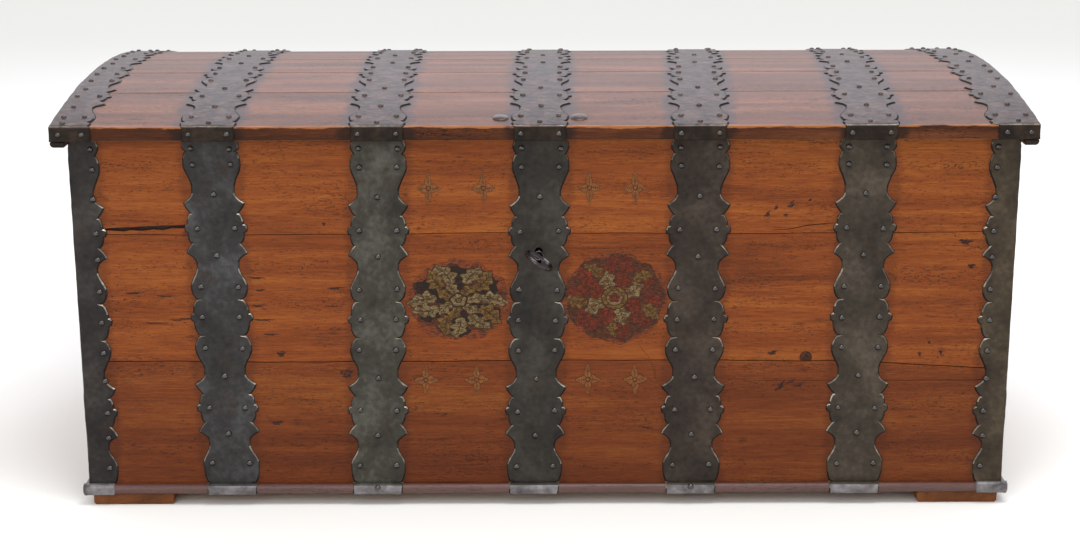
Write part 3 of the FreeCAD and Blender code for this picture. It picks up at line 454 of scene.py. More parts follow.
# faces that look into the hold are bare: never oiled, and no iron touches them
bareLook = {**dryLook, "light": "#9c7248", "mid": "#825b37", "dark": "#644326", "pore": "#382312"}
bareOak = oak({**bareLook, "name": "bareOakHold", "grain": 0, "seed": 17})
bareCrossOak = oak({**bareLook, "name": "bareOakHoldAcross", "grain": 1, "seed": 18})
ironLook = {"light": "#504d47", "mid": "#37332e", "dark": "#252220", "pit": "#151210",
            "rustColour": "#3d2c20", "cloud": 80.0, "metallic": 0.35, "roughness": 0.50, "gloss": 0.2}
bodyIron = iron({**ironLook, "name": "waxedIronBody"})
strapTones = [("#494a4b", "#333131", "#242222"), ("#54544c", "#3b3832", "#292622"),
              ("#413e39", "#2f2c28", "#201e1c"), ("#494038", "#332b25", "#231d1a"),
              ("#534a40", "#3b342c", "#28231e")]
strapIrons = [iron({**ironLook, "name": "waxedIronStrap" + str(n), "light": light, "mid": mid, "dark": dark})
              for n, (light, mid, dark) in enumerate(strapTones)]
cornerIron = iron({**ironLook, "name": "waxedIronCorner", "light": "#403d3b", "mid": "#2c2827",
                   "dark": "#1e1b1b"})
cornerIrons = {"left": cornerIron,
               "right": iron({**ironLook, "name": "waxedIronCornerRight", "light": "#564a3c",
                              "mid": "#3e352a", "dark": "#2a241d"})}
foldIron = iron({**ironLook, "name": "waxedIronFold", "light": "#33271d", "mid": "#1f1711", "dark": "#140e0b",
                 "cloud": 22.0, "gloss": 0.15, "metallic": 0.0, "roughness": 0.6})
edgeShade = iron({**ironLook, "name": "waxedIronEdgeShade", "light": "#1f1b18", "mid": "#171412",
                  "dark": "#0f0d0b", "metallic": 0.0, "roughness": 0.65})
# the straps' feet over the moulding: rubbed iron, lightened as well as a painted reflection of the bright sky
# on the rounded wraps
footReflectionIron = iron({"name": "rubbedIronFoot", "light": "#8a878a", "mid": "#6c686a", "dark": "#4a4648",
                 "pit": "#2a2624", "rustColour": "#5a4438", "cloud": 24.0, "metallic": 0.45,
                 "roughness": 0.42})
lidIron = iron({"name": "waxedIronLid", "light": "#5c4742", "mid": "#3a2b28", "dark": "#1f1614",
                "pit": "#100a09", "pits": 0.75, "rustColour": "#4a2a1e", "rust": 0.55, "cloud": 20.0,
                "metallic": 0.05, "roughness": 0.46, "gloss": 0.36, "hammer": 0.0010, "dimple": 9.0})
# painted highlight: the bright finish of strap edges that face up and of the bend over the lid's lip
edgeHighlightIron = iron({"name": "rubbedIronEdge", "light": "#b0aa9e", "mid": "#706b62", "dark": "#3a3732",
                 "pit": "#2c2926", "rustColour": "#6a5444", "cloud": 22.0, "metallic": 0.60,
                 "roughness": 0.38, "hammer": 0.0003})
nailIron = iron({"name": "waxedIronNail", "light": "#3e3935", "mid": "#272320", "dark": "#181513",
                 "pit": "#100e0c", "rustColour": "#33241a", "cloud": 14.0, "metallic": 0.0,
                 "roughness": 0.24, "gloss": 0.8, "hammer": 0.0001})
lidNailIron = iron({"name": "brownIronNail", "light": "#5e504c", "mid": "#433734", "dark": "#2a2220",
                    "pit": "#120d0c", "rustColour": "#40241b", "cloud": 14.0, "metallic": 0.10,
                    "roughness": 0.36, "gloss": 0.4, "hammer": 0.0003})
lockIron = iron({"name": "forgedIronLock", "light": "#5c5652", "mid": "#46403d", "dark": "#302b29",
                 "pit": "#1a1716", "rustColour": "#5a3a26", "cloud": 40.0, "metallic": 0.65,
                 "roughness": 0.45})
keyIron = iron({"name": "blueIronKey", "light": "#6e6a70", "mid": "#453f42", "dark": "#262224",
                "pit": "#141112", "rustColour": "#84502f", "rust": 0.75, "cloud": 16.0, "metallic": 0.90,
                "roughness": 0.24, "hammer": 0.0003})
# old wax and rust with painted shadow: the dark line round each strap
ironGrimeAndShadow = iron({"name": "waxAndRustGrime", "light": "#2a1a12", "mid": "#1c110c", "dark": "#120b08",
                  "pit": "#0a0605", "rustColour": "#3a2014", "cloud": 20.0, "metallic": 0.0,
                  "roughness": 0.70, "gloss": 0.1})

backOaks = [oak({**frontLook, "name": "oiledOakBack" + str(n), "seed": n + 14, "stainStrength": 0.0})
            for n in range(3)]
battenOak = oak({**lidLook, "name": "waxedOakBatten", "grain": 1, "seed": 21, "stainStrength": 0.0})
mouldingCrossOak = oak({"name": "waxedOakMouldingEnd", "grain": 1, "light": "#5c3a32", "mid": "#482a24",
                        "dark": "#331d19", "pore": "#1c100e", "roughness": 0.45, "gloss": 0.4, "seed": 9})
paintShapes = ("blotch", "ground", "leaf", "leafLine", "vein", "sideVein", "rose", "disc", "heart", "dot",
               "mark", "plug")
paintLooks = {
    # light, dark, what shows where it has worn, how much, from which noise level
    "Cream": ("#7a6846", "#4c3a22", "#38200f", 0.85, 0.50),
    "Ochre": ("#6f5426", "#452f14", "#3a2010", 0.85, 0.50),
    "Red": ("#6e2814", "#451809", "#32130b", 0.85, 0.50),
    "Black": ("#1f140e", "#110b07", "#43230f", 0.60, 0.54),
    "Brown": ("#442414", "#2c180d", "#64311a", 0.70, 0.52),
    "Halo": ("#542a14", "#3e1e0d", "#733618", 0.95, 0.46),
    "FadedOchre": ("#7c5228", "#5e3a1b", "#733618", 0.80, 0.50),
    "FadedBrown": ("#3a1e0e", "#2c1609", "#64311a", 0.70, 0.53),
    "Scorch": ("#2c1810", "#1c100a", "#64311a", 0.85, 0.52),
}
paints = {name: oldPaint({"name": "oilPaint" + name, "light": light, "dark": dark, "under": under,
                          "wear": wear, "wearFrom": wearFrom})
          for name, (light, dark, under, wear, wearFrom) in paintLooks.items()}

# every CAD node gets its finish; the ones that are shaped again below are hidden later
nodeFinish = {
    "front_board_top": frontOaks[0], "front_board_middle": frontOaks[1], "front_board_bottom": frontOaks[2],
    "back_board_top": frontOaks[1], "back_board_middle": frontOaks[2], "back_board_bottom": frontOaks[0],
    "left_end_boards": endOak, "right_end_boards": endOak, "bottom_boards": innerOak,
    "skid_left": skidOak, "skid_right": skidOak, "lid_batten_left": lidOaks[0],
    "lid_batten_right": lidOaks[1], "lid_board_front": lidOaks[0], "lid_board_front_middle": lidOaks[1],
    "lid_board_crest": lidOaks[2], "lid_board_rear_middle": lidOaks[3], "lid_board_rear": lidOaks[4],
    "till_front": innerCrossOak, "till_bottom": innerCrossOak, "till_lid": innerCrossOak,
    "body_strap_nails": nailIron, "lid_strap_nails": lidNailIron, "lid_clout_heads": lidNailIron,
    "lid_staple": lockIron, "lock_case": lockIron, "lock_bolt": lockIron, "key": keyIron,
    "hinge_pins": lockIron, "handle_left": lockIron, "handle_right": lockIron,
    "handle_eyes_left": lockIron, "handle_eyes_right": lockIron,
}
for node, cadPiece in frame["nodes"].items():
    material = nodeFinish.get(node)
    if material is None:
        material = mouldingOak if "moulding" in node else lidIron if node.startswith("lid_") else bodyIron
    cadPiece.data.materials.clear()
    cadPiece.data.materials.append(material)


# Scalloped straps: rows of (distance along, half width), in millimetres

strapEdge = {
    "plain": 40.0, "tail": 36.0, "notch": 33.0, "toothNotch": 37.0, "thorn": 47.5, "waist": 32.0,
    "lobe": 44.0, "knob": 43.5, "nubRise": 5.0, "nubReach": 6.8, "notchReach": 20.5, "linkPitch": 100.0,
    "ear": 43.5, "earAlong": 13.0, "earNotch": 38.0,
    "thorns": (0.309, 0.724), "notches": (0.396, 0.642), "nub": 0.519, "sinkShare": 0.62, "flareShare": 0.68,
    "flarePower": 2.2, "toothPower": 1.5,
    "arcSteps": 6, "sinkSteps": 9, "flareSteps": 5, "toothSteps": 4, "nubSteps": 6, "columns": 6,
    "thickness": 2.0, "edge": 1.8, "frontPitches": (194, 192), "lidPitches": (197, 192), "lidFirst": 40,
    "cornerFirst": 46.0, "grimeSpread": 0.8, "grimeThickness": 0.25,
    # each front strap was cut by hand, so its scallops start and swell a little differently
    "frontFirst": (38.5, 43.0, 44.5, 43.0, 40.5), "frontWidth": (1.0, 0.98, 0.99, 1.03, 1.0),
}


def swellTo(rows, along, half):
    # a quarter of an oval, steep where it leaves the notch and level at its crest
    start, low = rows[-1]
    for n in range(1, strapEdge["arcSteps"] + 1):
        turn = math.pi / 2 * n / strapEdge["arcSteps"]
        rows.append((start + (along - start) * (1 - math.cos(turn)), low + (half - low) * math.sin(turn)))


def fallTo(rows, along, half):
    # the same quarter the other way: level at first, steep where it meets the notch
    start, high = rows[-1]
    for n in range(1, strapEdge["arcSteps"] + 1):
        turn = math.pi / 2 * n / strapEdge["arcSteps"]
        rows.append((start + (along - start) * math.sin(turn), half + (high - half) * math.cos(turn)))


def hollowRows():
    # from a lobe's crest in to the waist, then ever more steeply out to a sharp thorn:
    # (share of the way, half width)
    edge = strapEdge
    rows = []
    for n in range(1, edge["sinkSteps"] + 1):
        t = n / edge["sinkSteps"]
        rows.append((t * edge["sinkShare"],
                     edge["lobe"] + (edge["waist"] - edge["lobe"]) * t * t * (3 - 2 * t)))
    rows.append((edge["flareShare"], edge["waist"]))
    for n in range(1, edge["flareSteps"] + 1):
        t = n / edge["flareSteps"]
        rows.append((edge["flareShare"] + (1 - edge["flareShare"]) * t,
                     edge["waist"] + (edge["thorn"] - edge["waist"]) * t ** edge["flarePower"]))
    return rows


def toothTo(rows, along, half, falling):
    # the short flank between a thorn's tip and its notch, nearly straight
    edge = strapEdge
    start, first = rows[-1]
    for n in range(1, edge["toothSteps"] + 1):
        t = n / edge["toothSteps"]
        share = t ** edge["toothPower"] if falling else 1 - (1 - t) ** edge["toothPower"]
        rows.append((start + (along - start) * t, first + (half - first) * share))


def hollowTo(rows, along, outward):
    start = rows[-1][0]
    shape = hollowRows()
    if not outward:
        shape = [(1 - share, half) for share, half in shape[-2::-1]] + [(1.0, strapEdge["lobe"])]
    rows += [(start + (along - start) * share, half) for share, half in shape]


def knobTo(rows, end, last):
    # a round lobe with a small round tab at its middle
    edge = strapEdge
    middle = (rows[-1][0] + end) / 2
    swellTo(rows, middle - edge["nubReach"], edge["knob"])
    for n in range(1, edge["nubSteps"] + 1):
        turn = math.pi * n / edge["nubSteps"]
        rows.append((middle - edge["nubReach"] * math.cos(turn),
                     edge["knob"] + edge["nubRise"] * max(0.0, math.sin(turn)) ** 0.7))
    fallTo(rows, end, last)


def scalloped(length, first, pitches, width=1.0):
    edge = strapEdge
    reach = edge["notchReach"]
    rows = [(0.0, edge["plain"])]
    toothTo(rows, edge["earAlong"], edge["ear"], False)
    toothTo(rows, first - reach, edge["earNotch"], True)
    lobe = first
    for n, pitch in enumerate(pitches):
        if n:
            knobTo(rows, lobe - reach, edge["notch"])
        swellTo(rows, lobe, edge["lobe"])
        hollowTo(rows, lobe + edge["thorns"][0] * pitch, True)
        toothTo(rows, lobe + edge["notches"][0] * pitch, edge["toothNotch"], True)
        knobTo(rows, lobe + edge["notches"][1] * pitch, edge["toothNotch"])
        toothTo(rows, lobe + edge["thorns"][1] * pitch, edge["thorn"], False)
        lobe += pitch
        hollowTo(rows, lobe, False)
        last = length - lobe < edge["linkPitch"]
        fallTo(rows, length if last else lobe + reach, edge["tail"] if last else edge["notch"])
        lobe += edge["linkPitch"]
    if rows[-1][0] < length:
        knobTo(rows, lobe - reach, edge["notch"])
        swellTo(rows, lobe, edge["lobe"])
        fallTo(rows, length, edge["plain"])
    return [(along, half * width) for along, half in rows]


def layStrap(name, rows, straightEdge=False, thickness=strapEdge["thickness"], edge=strapEdge["edge"]):
    # rows are (y, z, half width) in metres: a first strip is added, its end is pulled on row by
    # row, and the sheet is thickened outwards with a worn edge
    deselectAll()
    bpy.ops.mesh.primitive_grid_add(x_subdivisions=strapEdge["columns"], y_subdivisions=1, size=2)
    strap = newPiece(name)
    bpy.ops.object.mode_set(mode="EDIT")
    if straightEdge:
        bpy.ops.transform.translate(value=(1, 0, 0))
        bpy.ops.transform.resize(value=(0.5, 1, 1), center_override=(0, 0, 0))
    for side, row in ((-1, rows[0]), (1, rows[1])):
        pick(strap, lambda vertex: vertex.co.y * side > 0.5)
        bpy.ops.transform.resize(value=(row[2], 1, 1), center_override=(0, side, 0))
        bpy.ops.transform.translate(value=(0, row[0] - side, row[1]))
    for last, row in zip(rows[1:], rows[2:]):
        bpy.ops.mesh.extrude_edges_move(
            TRANSFORM_OT_translate={"value": (0, row[0] - last[0], row[1] - last[1])})
        bpy.ops.transform.resize(value=(row[2] / last[2], 1, 1), center_override=(0, row[0], row[1]))
    bpy.ops.mesh.select_all(action="SELECT")
    mesh = bmesh.from_edit_mesh(strap.data)
    mesh.faces.ensure_lookup_table()
    if mesh.faces[0].normal.y > 0:
        bpy.ops.mesh.flip_normals()
    bpy.ops.mesh.extrude_region_shrink_fatten(
        TRANSFORM_OT_shrink_fatten={"value": (thickness - edge) * mm})
    bpy.ops.mesh.inset(thickness=edge * mm, depth=edge * mm, use_even_offset=True)
    mesh = bmesh.from_edit_mesh(strap.data)
    # the chamfer round the outline takes the second slot, the painted-highlight edge finish
    for face in mesh.faces:
        beside = any(other.select for rim in face.edges for other in rim.link_faces)
        face.material_index = 1 if beside and not face.select else 0
    bmesh.update_edit_mesh(strap.data)
    bpy.ops.object.mode_set(mode="OBJECT")
    return strap


def layGrime(name, rows, straightEdge=False):
    # the dark line against a strap's edge: old wax and rust, with painted shadow where the strap sits on the
    # wood
    spread = strapEdge["grimeSpread"] * mm
    wide = [(y, z, half + spread) for y, z, half in rows]
    skirt = layStrap(name, wide, straightEdge, strapEdge["grimeThickness"], 0.1)
    for face in skirt.data.polygons:
        face.material_index = 0
    return skirt


def pick(piece, test):
    # in edit mode: select only the vertices that pass
    bpy.ops.mesh.select_all(action="DESELECT")
    mesh = bmesh.from_edit_mesh(piece.data)
    for vertex in mesh.verts:
        vertex.select = bool(test(vertex))
    mesh.select_flush(True)
    bmesh.update_edit_mesh(piece.data)


def wornOutline(piece, seed):
    # hand cutting: the outline wanders a little
    texture = bpy.data.textures.new("handCut" + str(seed), "CLOUDS")
    texture.noise_scale = 0.03
    texture.noise_depth = 1
    activate(piece)
    addModifier(piece, "DISPLACE", texture=texture, direction="X", strength=0.003, mid_level=0.5,
                texture_coords="LOCAL")


def dress(piece, *materials):
    # clearing the slots sends every face back to the first, so each face's slot is kept
    slots = [face.material_index for face in piece.data.polygons]
    piece.data.materials.clear()
    for material in materials:
        piece.data.materials.append(material)
    piece.data.polygons.foreach_set("material_index", slots)


def leaned(piece, x, lean, start, axis):
    # shear along X by the strap's lean, then out to its place
    shift = Matrix.Identity(4)
    shift[0][axis] = lean
    shift[0][3] = x - lean * start
    piece.data.transform(shift)


def wallRows(rows):
    return [(faces["frontY"], faces["strapTopZ"] - along * mm, half * mm) for along, half in rows]


def mouldingRows(half):
    # over the base moulding: out along its top, then round its nose
    wrap = {"top": faces["mouldingTopZ"], "bottom": faces["mouldingBottomZ"], "flat": 0.005,
            "proud": faces["frontY"] - faces["mouldingFrontY"], "steps": 9, "fillet": 0.0012}
    middle = (wrap["top"] + wrap["bottom"]) / 2
    rise = (wrap["top"] - wrap["bottom"]) / 2
    rows = [(faces["frontY"], wrap["top"] + wrap["fillet"], half),
            (faces["frontY"] - wrap["fillet"], wrap["top"], half)]
    for n in range(wrap["steps"] + 1):
        angle = math.pi * n / wrap["steps"]
        rows.append((faces["frontY"] - wrap["flat"] - (wrap["proud"] - wrap["flat"]) * math.sin(angle),
                     middle + rise * math.cos(angle), half))
    return rows


def archPoint(arc):
    angle = arc / lidArch["radius"] - lidArch["halfAngle"]
    return (lidArch["middleY"] + lidArch["radius"] * math.sin(angle),
            lidArch["centreZ"] + lidArch["radius"] * math.cos(angle))


def lidRows(rows, rearLow):
    # up the lip, round its worn corner, over the arch and down the back edge
    fold = {"radius": 0.0022, "seat": 0.0003, "steps": 4}
    path = []
    low = faces["lipBottomZ"] + fold["seat"]
    high = lidArch["lipTopZ"] - fold["radius"]
    plain = rows[0][1] * mm
    tail = rows[-1][1] * mm
    inner = [row for row in rows if fold["radius"] < row[0] * mm < lidArch["arc"] - fold["radius"]]
    for n in range(fold["steps"] + 1):
        path.append((faces["lidFrontY"], low + (high - low) * n / fold["steps"], plain))
    for turn, y, half, back in ((-1, faces["lidFrontY"], plain, 1), (1, faces["lidBackY"], tail, -1)):
        bend = []
        for n in range(1, fold["steps"]):
            angle = math.pi / 2 * n / fold["steps"]
            bend.append((y + back * fold["radius"] * (1 - math.cos(angle)),
                         high + fold["radius"] * math.sin(angle), half))
        path += bend if turn < 0 else [archPoint(row[0] * mm) + (row[1] * mm,) for row in inner] + bend[::-1]
    for n in range(fold["steps"] + 1):
        path.append((faces["lidBackY"], high + (rearLow - high) * n / fold["steps"], tail))
    return path


def frontStraps():
    keyhole = {**keyPlace, "radius": 0.0062, "slotWidth": 0.007, "slotLength": 0.024}
    length = (faces["strapTopZ"] - faces["mouldingTopZ"]) / mm - strapEdge["thickness"]
    for n, name in enumerate(strapNames):
        rows = wallRows(scalloped(length, strapEdge["frontFirst"][n], strapEdge["frontPitches"],
                                  strapEdge["frontWidth"][n]))
        strap = layStrap("frontStrap_" + name, rows + mouldingRows(strapEdge["plain"] * mm))
        # the skirt: grime and painted shadow along the strap's edge
        skirt = layGrime("grime_" + name, rows)
        for part in (strap, skirt):
            wornOutline(part, n)
            leaned(part, *frontLines[n], 2)
        dress(strap, strapIrons[n], edgeHighlightIron, footReflectionIron, edgeShade)
        # the part over the moulding takes the lighter foot finish: rubbed iron with painted reflection
        for face in strap.data.polygons:
            if face.center.z < faces["mouldingTopZ"] and face.material_index == 0:
                face.material_index = 2
        wearEdges(strap)
        dress(skirt, ironGrimeAndShadow)
        if name == "centre":
            cutKeyhole(strap, keyhole)
            cutKeyhole(skirt, keyhole)
        finish(joined("frontStrap_" + name, [strap, skirt]), "chest", "body_iron", ["front_strap_" + name])


def wearEdges(strap):
    # painted highlight on the edges that face up and painted shade on those that face down; edges that face
    # sideways keep the strap's skin
    for face in strap.data.polygons:
        if face.material_index == 1 and face.normal.z < 0.12:
            face.material_index = 3 if face.normal.z < -0.12 else 0


def cutKeyhole(piece, keyhole):
    deselectAll()
    bpy.ops.mesh.primitive_cylinder_add(vertices=24, radius=keyhole["radius"], depth=0.1,
                                        location=(keyhole["x"], faces["frontY"], keyhole["z"]),
                                        rotation=(math.pi / 2, 0, 0))
    cutter = newPiece("keyholeCutter")
    bpy.ops.mesh.primitive_cube_add(size=1, location=(keyhole["x"], faces["frontY"],
                                                      keyhole["z"] - keyhole["slotLength"] / 2),
                                    scale=(keyhole["slotWidth"], 0.1, keyhole["slotLength"]))
    slot = newPiece("slotCutter")
    for tool in (cutter, slot):
        addModifier(piece, "BOOLEAN", operation="DIFFERENCE", object=tool, solver="EXACT")
        bpy.data.objects.remove(tool)


def cornerStraps():
    corner = {"offset": 3.0, "topTrim": 9.0, "wrapWidth": 50.0}
    thick = strapEdge["thickness"] * mm
    rows = scalloped((faces["strapTopZ"] - faces["mouldingTopZ"]) / mm, strapEdge["cornerFirst"],
                     strapEdge["frontPitches"])
    wide = wallRows([(along, half + corner["offset"]) for along, half in rows])
    low = wallRows([(along, half + corner["offset"]) for along, half in rows if along > corner["topTrim"]])
    front = [layStrap("leafFront", wide, True), layGrime("leafGrime", wide, True)]
    side = [layStrap("leafSide", low, True), layGrime("leafSideGrime", low, True)]
    wrap = layStrap("leafWrap", mouldingRows(corner["wrapWidth"] * mm), True)
    outer = faces["endX"] + thick
    turn = Matrix.Rotation(math.pi / 2, 4, "Z") @ Matrix.Translation((0, -faces["frontY"], 0))
    proud = faces["frontY"] - faces["mouldingFrontY"] + thick
    for name, sign in sides:
        mirrored = Matrix.Diagonal((-sign, 1, 1, 1))
        turned = Matrix.Diagonal((sign, 1, 1, 1)) @ turn
        onFront = Matrix.Translation((sign * outer, 0, 0)) @ mirrored
        onEnd = Matrix.Translation((sign * faces["endX"], faces["frontY"] - thick, 0)) @ turned
        wrapFront = Matrix.Translation((sign * (faces["endX"] + proud), 0, 0)) @ mirrored
        wrapEnd = Matrix.Translation((sign * faces["endX"], faces["frontY"] - proud, 0)) @ turned
        leaves = []
        for masters, place, seed in ((front, onFront, 20), (side, onEnd, 30)):
            for master, metals in zip(masters, ((cornerIrons[name], edgeHighlightIron, footReflectionIron, edgeShade),
                                                (ironGrimeAndShadow,))):
                leaf = copyOf(master, "leaf")
                wornOutline(leaf, seed + sign)
                leaf.data.transform(place)
                dress(leaf, *metals)
                if len(metals) > 1:
                    facesOut(leaf)
                    wearEdges(leaf)
                leaves.append(leaf)
        for place in (wrapFront, wrapEnd):
            leaf = copyOf(wrap, "wrap")
            leaf.data.transform(place)
            dress(leaf, footReflectionIron, footReflectionIron)
            leaves.append(leaf)
        strap = joined("cornerStrap_" + name, leaves)
        facesOut(strap)
        finish(strap, "chest", "body_iron", ["corner_strap_front_" + name])
    bpy.data.objects.remove(wrap)
    for master in front + side:
        bpy.data.objects.remove(master)


def facesOut(piece):
    activate(piece)
    bpy.ops.object.mode_set(mode="EDIT")
    bpy.ops.mesh.select_all(action="SELECT")
    bpy.ops.mesh.normals_make_consistent(inside=False)
    bpy.ops.object.mode_set(mode="OBJECT")


# the straps along the lid's two ends: how far their scallops stand in, and the tongues' width
lidEnds = {"left": 19.0, "right": 32.0, "foldWidth": 64.0}


def lidStraps():
    hinge = {"straps": ("left_outer", "centre", "right_outer"), "barrel": 0.008, "gap": 0.0004,
             "bore": 0.0038, "length": 0.030, "y": faces["backY"] + 0.0083}
    seat = 0.0003
    rows = scalloped(lidArch["arc"] / mm, strapEdge["lidFirst"], strapEdge["lidPitches"])
    arch = [archPoint(along * mm) + (half * mm,) for along, half in rows]
    hingeTop = faces["lipBottomZ"] + hinge["barrel"] + hinge["gap"]
    plainMaster = layStrap("lidMaster", lidRows(rows, faces["lipBottomZ"] + seat))
    hingedMaster = layStrap("lidHingedMaster", lidRows(rows, hingeTop))
    # the dark line round the lid straps: grime and painted shadow
    grime = layGrime("lidGrime", arch)
    for n, name in enumerate(strapNames):
        hinged = name in hinge["straps"]
        parts = [copyOf(hingedMaster if hinged else plainMaster, "lidStrap_" + name),
                 copyOf(grime, "lidGrime_" + name)]
        first, lean, start = lidLines[n]
        for part, metals in zip(parts, ((lidIron, edgeHighlightIron, foldIron, edgeShade), (ironGrimeAndShadow,))):
            wornOutline(part, 40 + n)
            leaned(part, first, lean, start, 1)
            dress(part, *metals)
        foldFinish(parts[0])
        if hinged:
            parts += lidKnuckle(first + lean * (faces["lidBackY"] - start), hinge)
        finish(joined("lidStrap_" + name, parts), "lid", "lid_iron", ["lid_strap_" + name])
    for name, sign in sides:
        leafRows = [(along, half + lidEnds[name]) for along, half in rows[1:-1]]
        leafRows = [(0.0, lidEnds["foldWidth"])] + leafRows + [(rows[-1][0], lidEnds["foldWidth"])]
        arch = [archPoint(along * mm) + (half * mm,) for along, half in leafRows]
        parts = [layStrap("lidStrapEnd_" + name, lidRows(leafRows, faces["lipBottomZ"] + seat), True),
                 layGrime("lidGrimeEnd_" + name, arch, True)]
        for part, metals in zip(parts, ((lidIron, edgeHighlightIron, foldIron, edgeShade), (ironGrimeAndShadow,))):
            wornOutline(part, 50 + sign)
            part.data.transform(Matrix.Translation((sign * faces["lidEndX"], 0, 0))
                                @ Matrix.Diagonal((-sign, 1, 1, 1)))
            dress(part, *metals)
        facesOut(parts[0])
        foldFinish(parts[0])
        strap = joined("lidStrapEnd_" + name, parts)
        facesOut(strap)
        finish(strap, "lid", "lid_iron", ["lid_strap_" + name + "_end"])
    for master in (plainMaster, hingedMaster, grime):
        bpy.data.objects.remove(master)


def foldFinish(strap):
    # the tongue folded over the lip is darker, its bend gets a painted highlight, and the edges of the strap
    # that face the front get painted shade
    for face in strap.data.polygons:
        if face.center.y > faces["lidFrontY"] + 0.0035:
            if face.material_index == 1:
                face.material_index = 3 if face.normal.y < -0.15 else 0
        elif 0.75 < face.normal.z < 0.92:
            face.material_index = 1
        elif face.center.z < lidArch["lipTopZ"]:
            face.material_index = 2


def lidKnuckle(x, hinge):
    # the strap's middle tongue runs down to a rolled knuckle
    deselectAll()
    bpy.ops.mesh.primitive_cylinder_add(vertices=32, radius=hinge["bore"], depth=hinge["length"],
                                        end_fill_type="NOTHING", rotation=(0, math.pi / 2, 0),
                                        location=(x, hinge["y"], faces["lipBottomZ"]))
    knuckle = newPiece("knuckle")
    settle(knuckle)
    addModifier(knuckle, "SOLIDIFY", thickness=hinge["barrel"] - hinge["bore"], offset=1.0)
    addModifier(knuckle, "BEVEL", width=0.0006, segments=2, limit_method="ANGLE")
    top = faces["lipBottomZ"] + hinge["barrel"] + hinge["gap"]
    bpy.ops.mesh.primitive_cube_add(size=1, location=(x, faces["backY"] + strapEdge["thickness"] * mm / 2,
                                                      (top + faces["lipBottomZ"]) / 2 + 0.001),
                                    scale=(hinge["length"], strapEdge["thickness"] * mm,
                                           top - faces["lipBottomZ"] + 0.002))
    tongue = newPiece("tongue")
    settle(tongue)
    dress(knuckle, lidIron)
    dress(tongue, lidIron)
    return [knuckle, tongue]


# Nails: one hammered dome, copied to every place with a little unevenness

nailLook = {"radius": 4.9, "height": 4.3, "lidRadius": 4.4, "lidHeight": 3.4, "edge": 14.0, "side": 29.0,
            "cornerInset": 35.0, "upper": 0.24, "lower": 0.735, "wander": 1.2, "tiltDegrees": 5.0,
            "sizeSpread": 0.07, "seed": 41}


def nailHead(name, radius, height, sides=12):
    deselectAll()
    bpy.ops.mesh.primitive_uv_sphere_add(segments=sides, ring_count=8, radius=radius)
    head = newPiece(name)
    bpy.ops.object.mode_set(mode="EDIT")
    bpy.ops.mesh.select_all(action="SELECT")
    bpy.ops.mesh.bisect(plane_co=(0, 0, radius * 0.02), plane_no=(0, 0, 1), clear_inner=True, use_fill=True)
    bpy.ops.mesh.select_all(action="SELECT")
    bpy.ops.transform.resize(value=(1, 1, height / radius), center_override=(0, 0, 0))
    # flatten the crown a little, as the last hammer blow does
    pick(head, lambda vertex: vertex.co.z > height * 0.9)
    bpy.ops.transform.translate(value=(0, 0, -height * 0.06))
    bpy.ops.object.mode_set(mode="OBJECT")
    return head


def nailSpots(length, first, pitches, folded=False):
    edge = strapEdge
    link = edge["linkPitch"]
    spots = [(nailLook["edge"], 0.0 if folded else nailLook["side"])]
    lobe = first
    for n, pitch in enumerate(pitches):
        if n:
            spots.append((lobe - link / 2, nailLook["side"]))
        spots.append((lobe, nailLook["side"]))
        spots.append((lobe + nailLook["upper"] * pitch, 0.0))
        spots.append((lobe + edge["nub"] * pitch, nailLook["side"]))
        spots.append((lobe + nailLook["lower"] * pitch, 0.0))
        lobe += pitch
        spots.append((min(lobe, length - nailLook["edge"]), nailLook["side"]))
        lobe += link
    if lobe < length:
        spots.append((lobe - link / 2, nailLook["side"]))
        spots.append((lobe, nailLook["side"]))
        spots.append((length - nailLook["edge"], nailLook["side"]))
    return spots


def bothSides(spots):
    places = []
    for along, across in spots:
        places.append((along, across))
        if across:
            places.append((along, -across))
    return places


def driveNails(name, places, head, chance):
    # places are (point, outward direction, metal)
    nails = []
    for n, (point, outward, metal) in enumerate(places):
        nail = copyOf(head, "nail" + str(n))
        dress(nail, metal)
        up = Vector(outward).normalized()
        turn = up.to_track_quat("Z", "Y").to_matrix().to_4x4()
        tilt = math.radians(nailLook["tiltDegrees"])
        lean = (Matrix.Rotation(chance.uniform(-tilt, tilt), 4, "X")
                @ Matrix.Rotation(chance.uniform(0, math.tau), 4, "Z"))
        size = 1 + chance.uniform(-nailLook["sizeSpread"], nailLook["sizeSpread"])
        nail.data.transform(Matrix.Translation(point) @ turn @ lean @ Matrix.Scale(size, 4))
        if abs(up.z) < 0.3:
            # painted shade: the lower half of each head on the walls takes the dark edge-shade finish
            nail.data.materials.append(edgeShade)
            for face in nail.data.polygons:
                face.material_index = 1 if face.normal.z < -0.2 else 0
        nails.append(nail)
    return joined(name, nails)


def onFront(n, along, across, chance):
    first, lean, start = frontLines[n]
    z = faces["strapTopZ"] - along * mm
    wander = nailLook["wander"] * mm
    return ((first + lean * (z - start) + across * mm + chance.uniform(-wander, wander),
             faces["frontY"] - strapEdge["thickness"] * mm, z + chance.uniform(-wander, wander)), (0, -1, 0),
            nailIron)


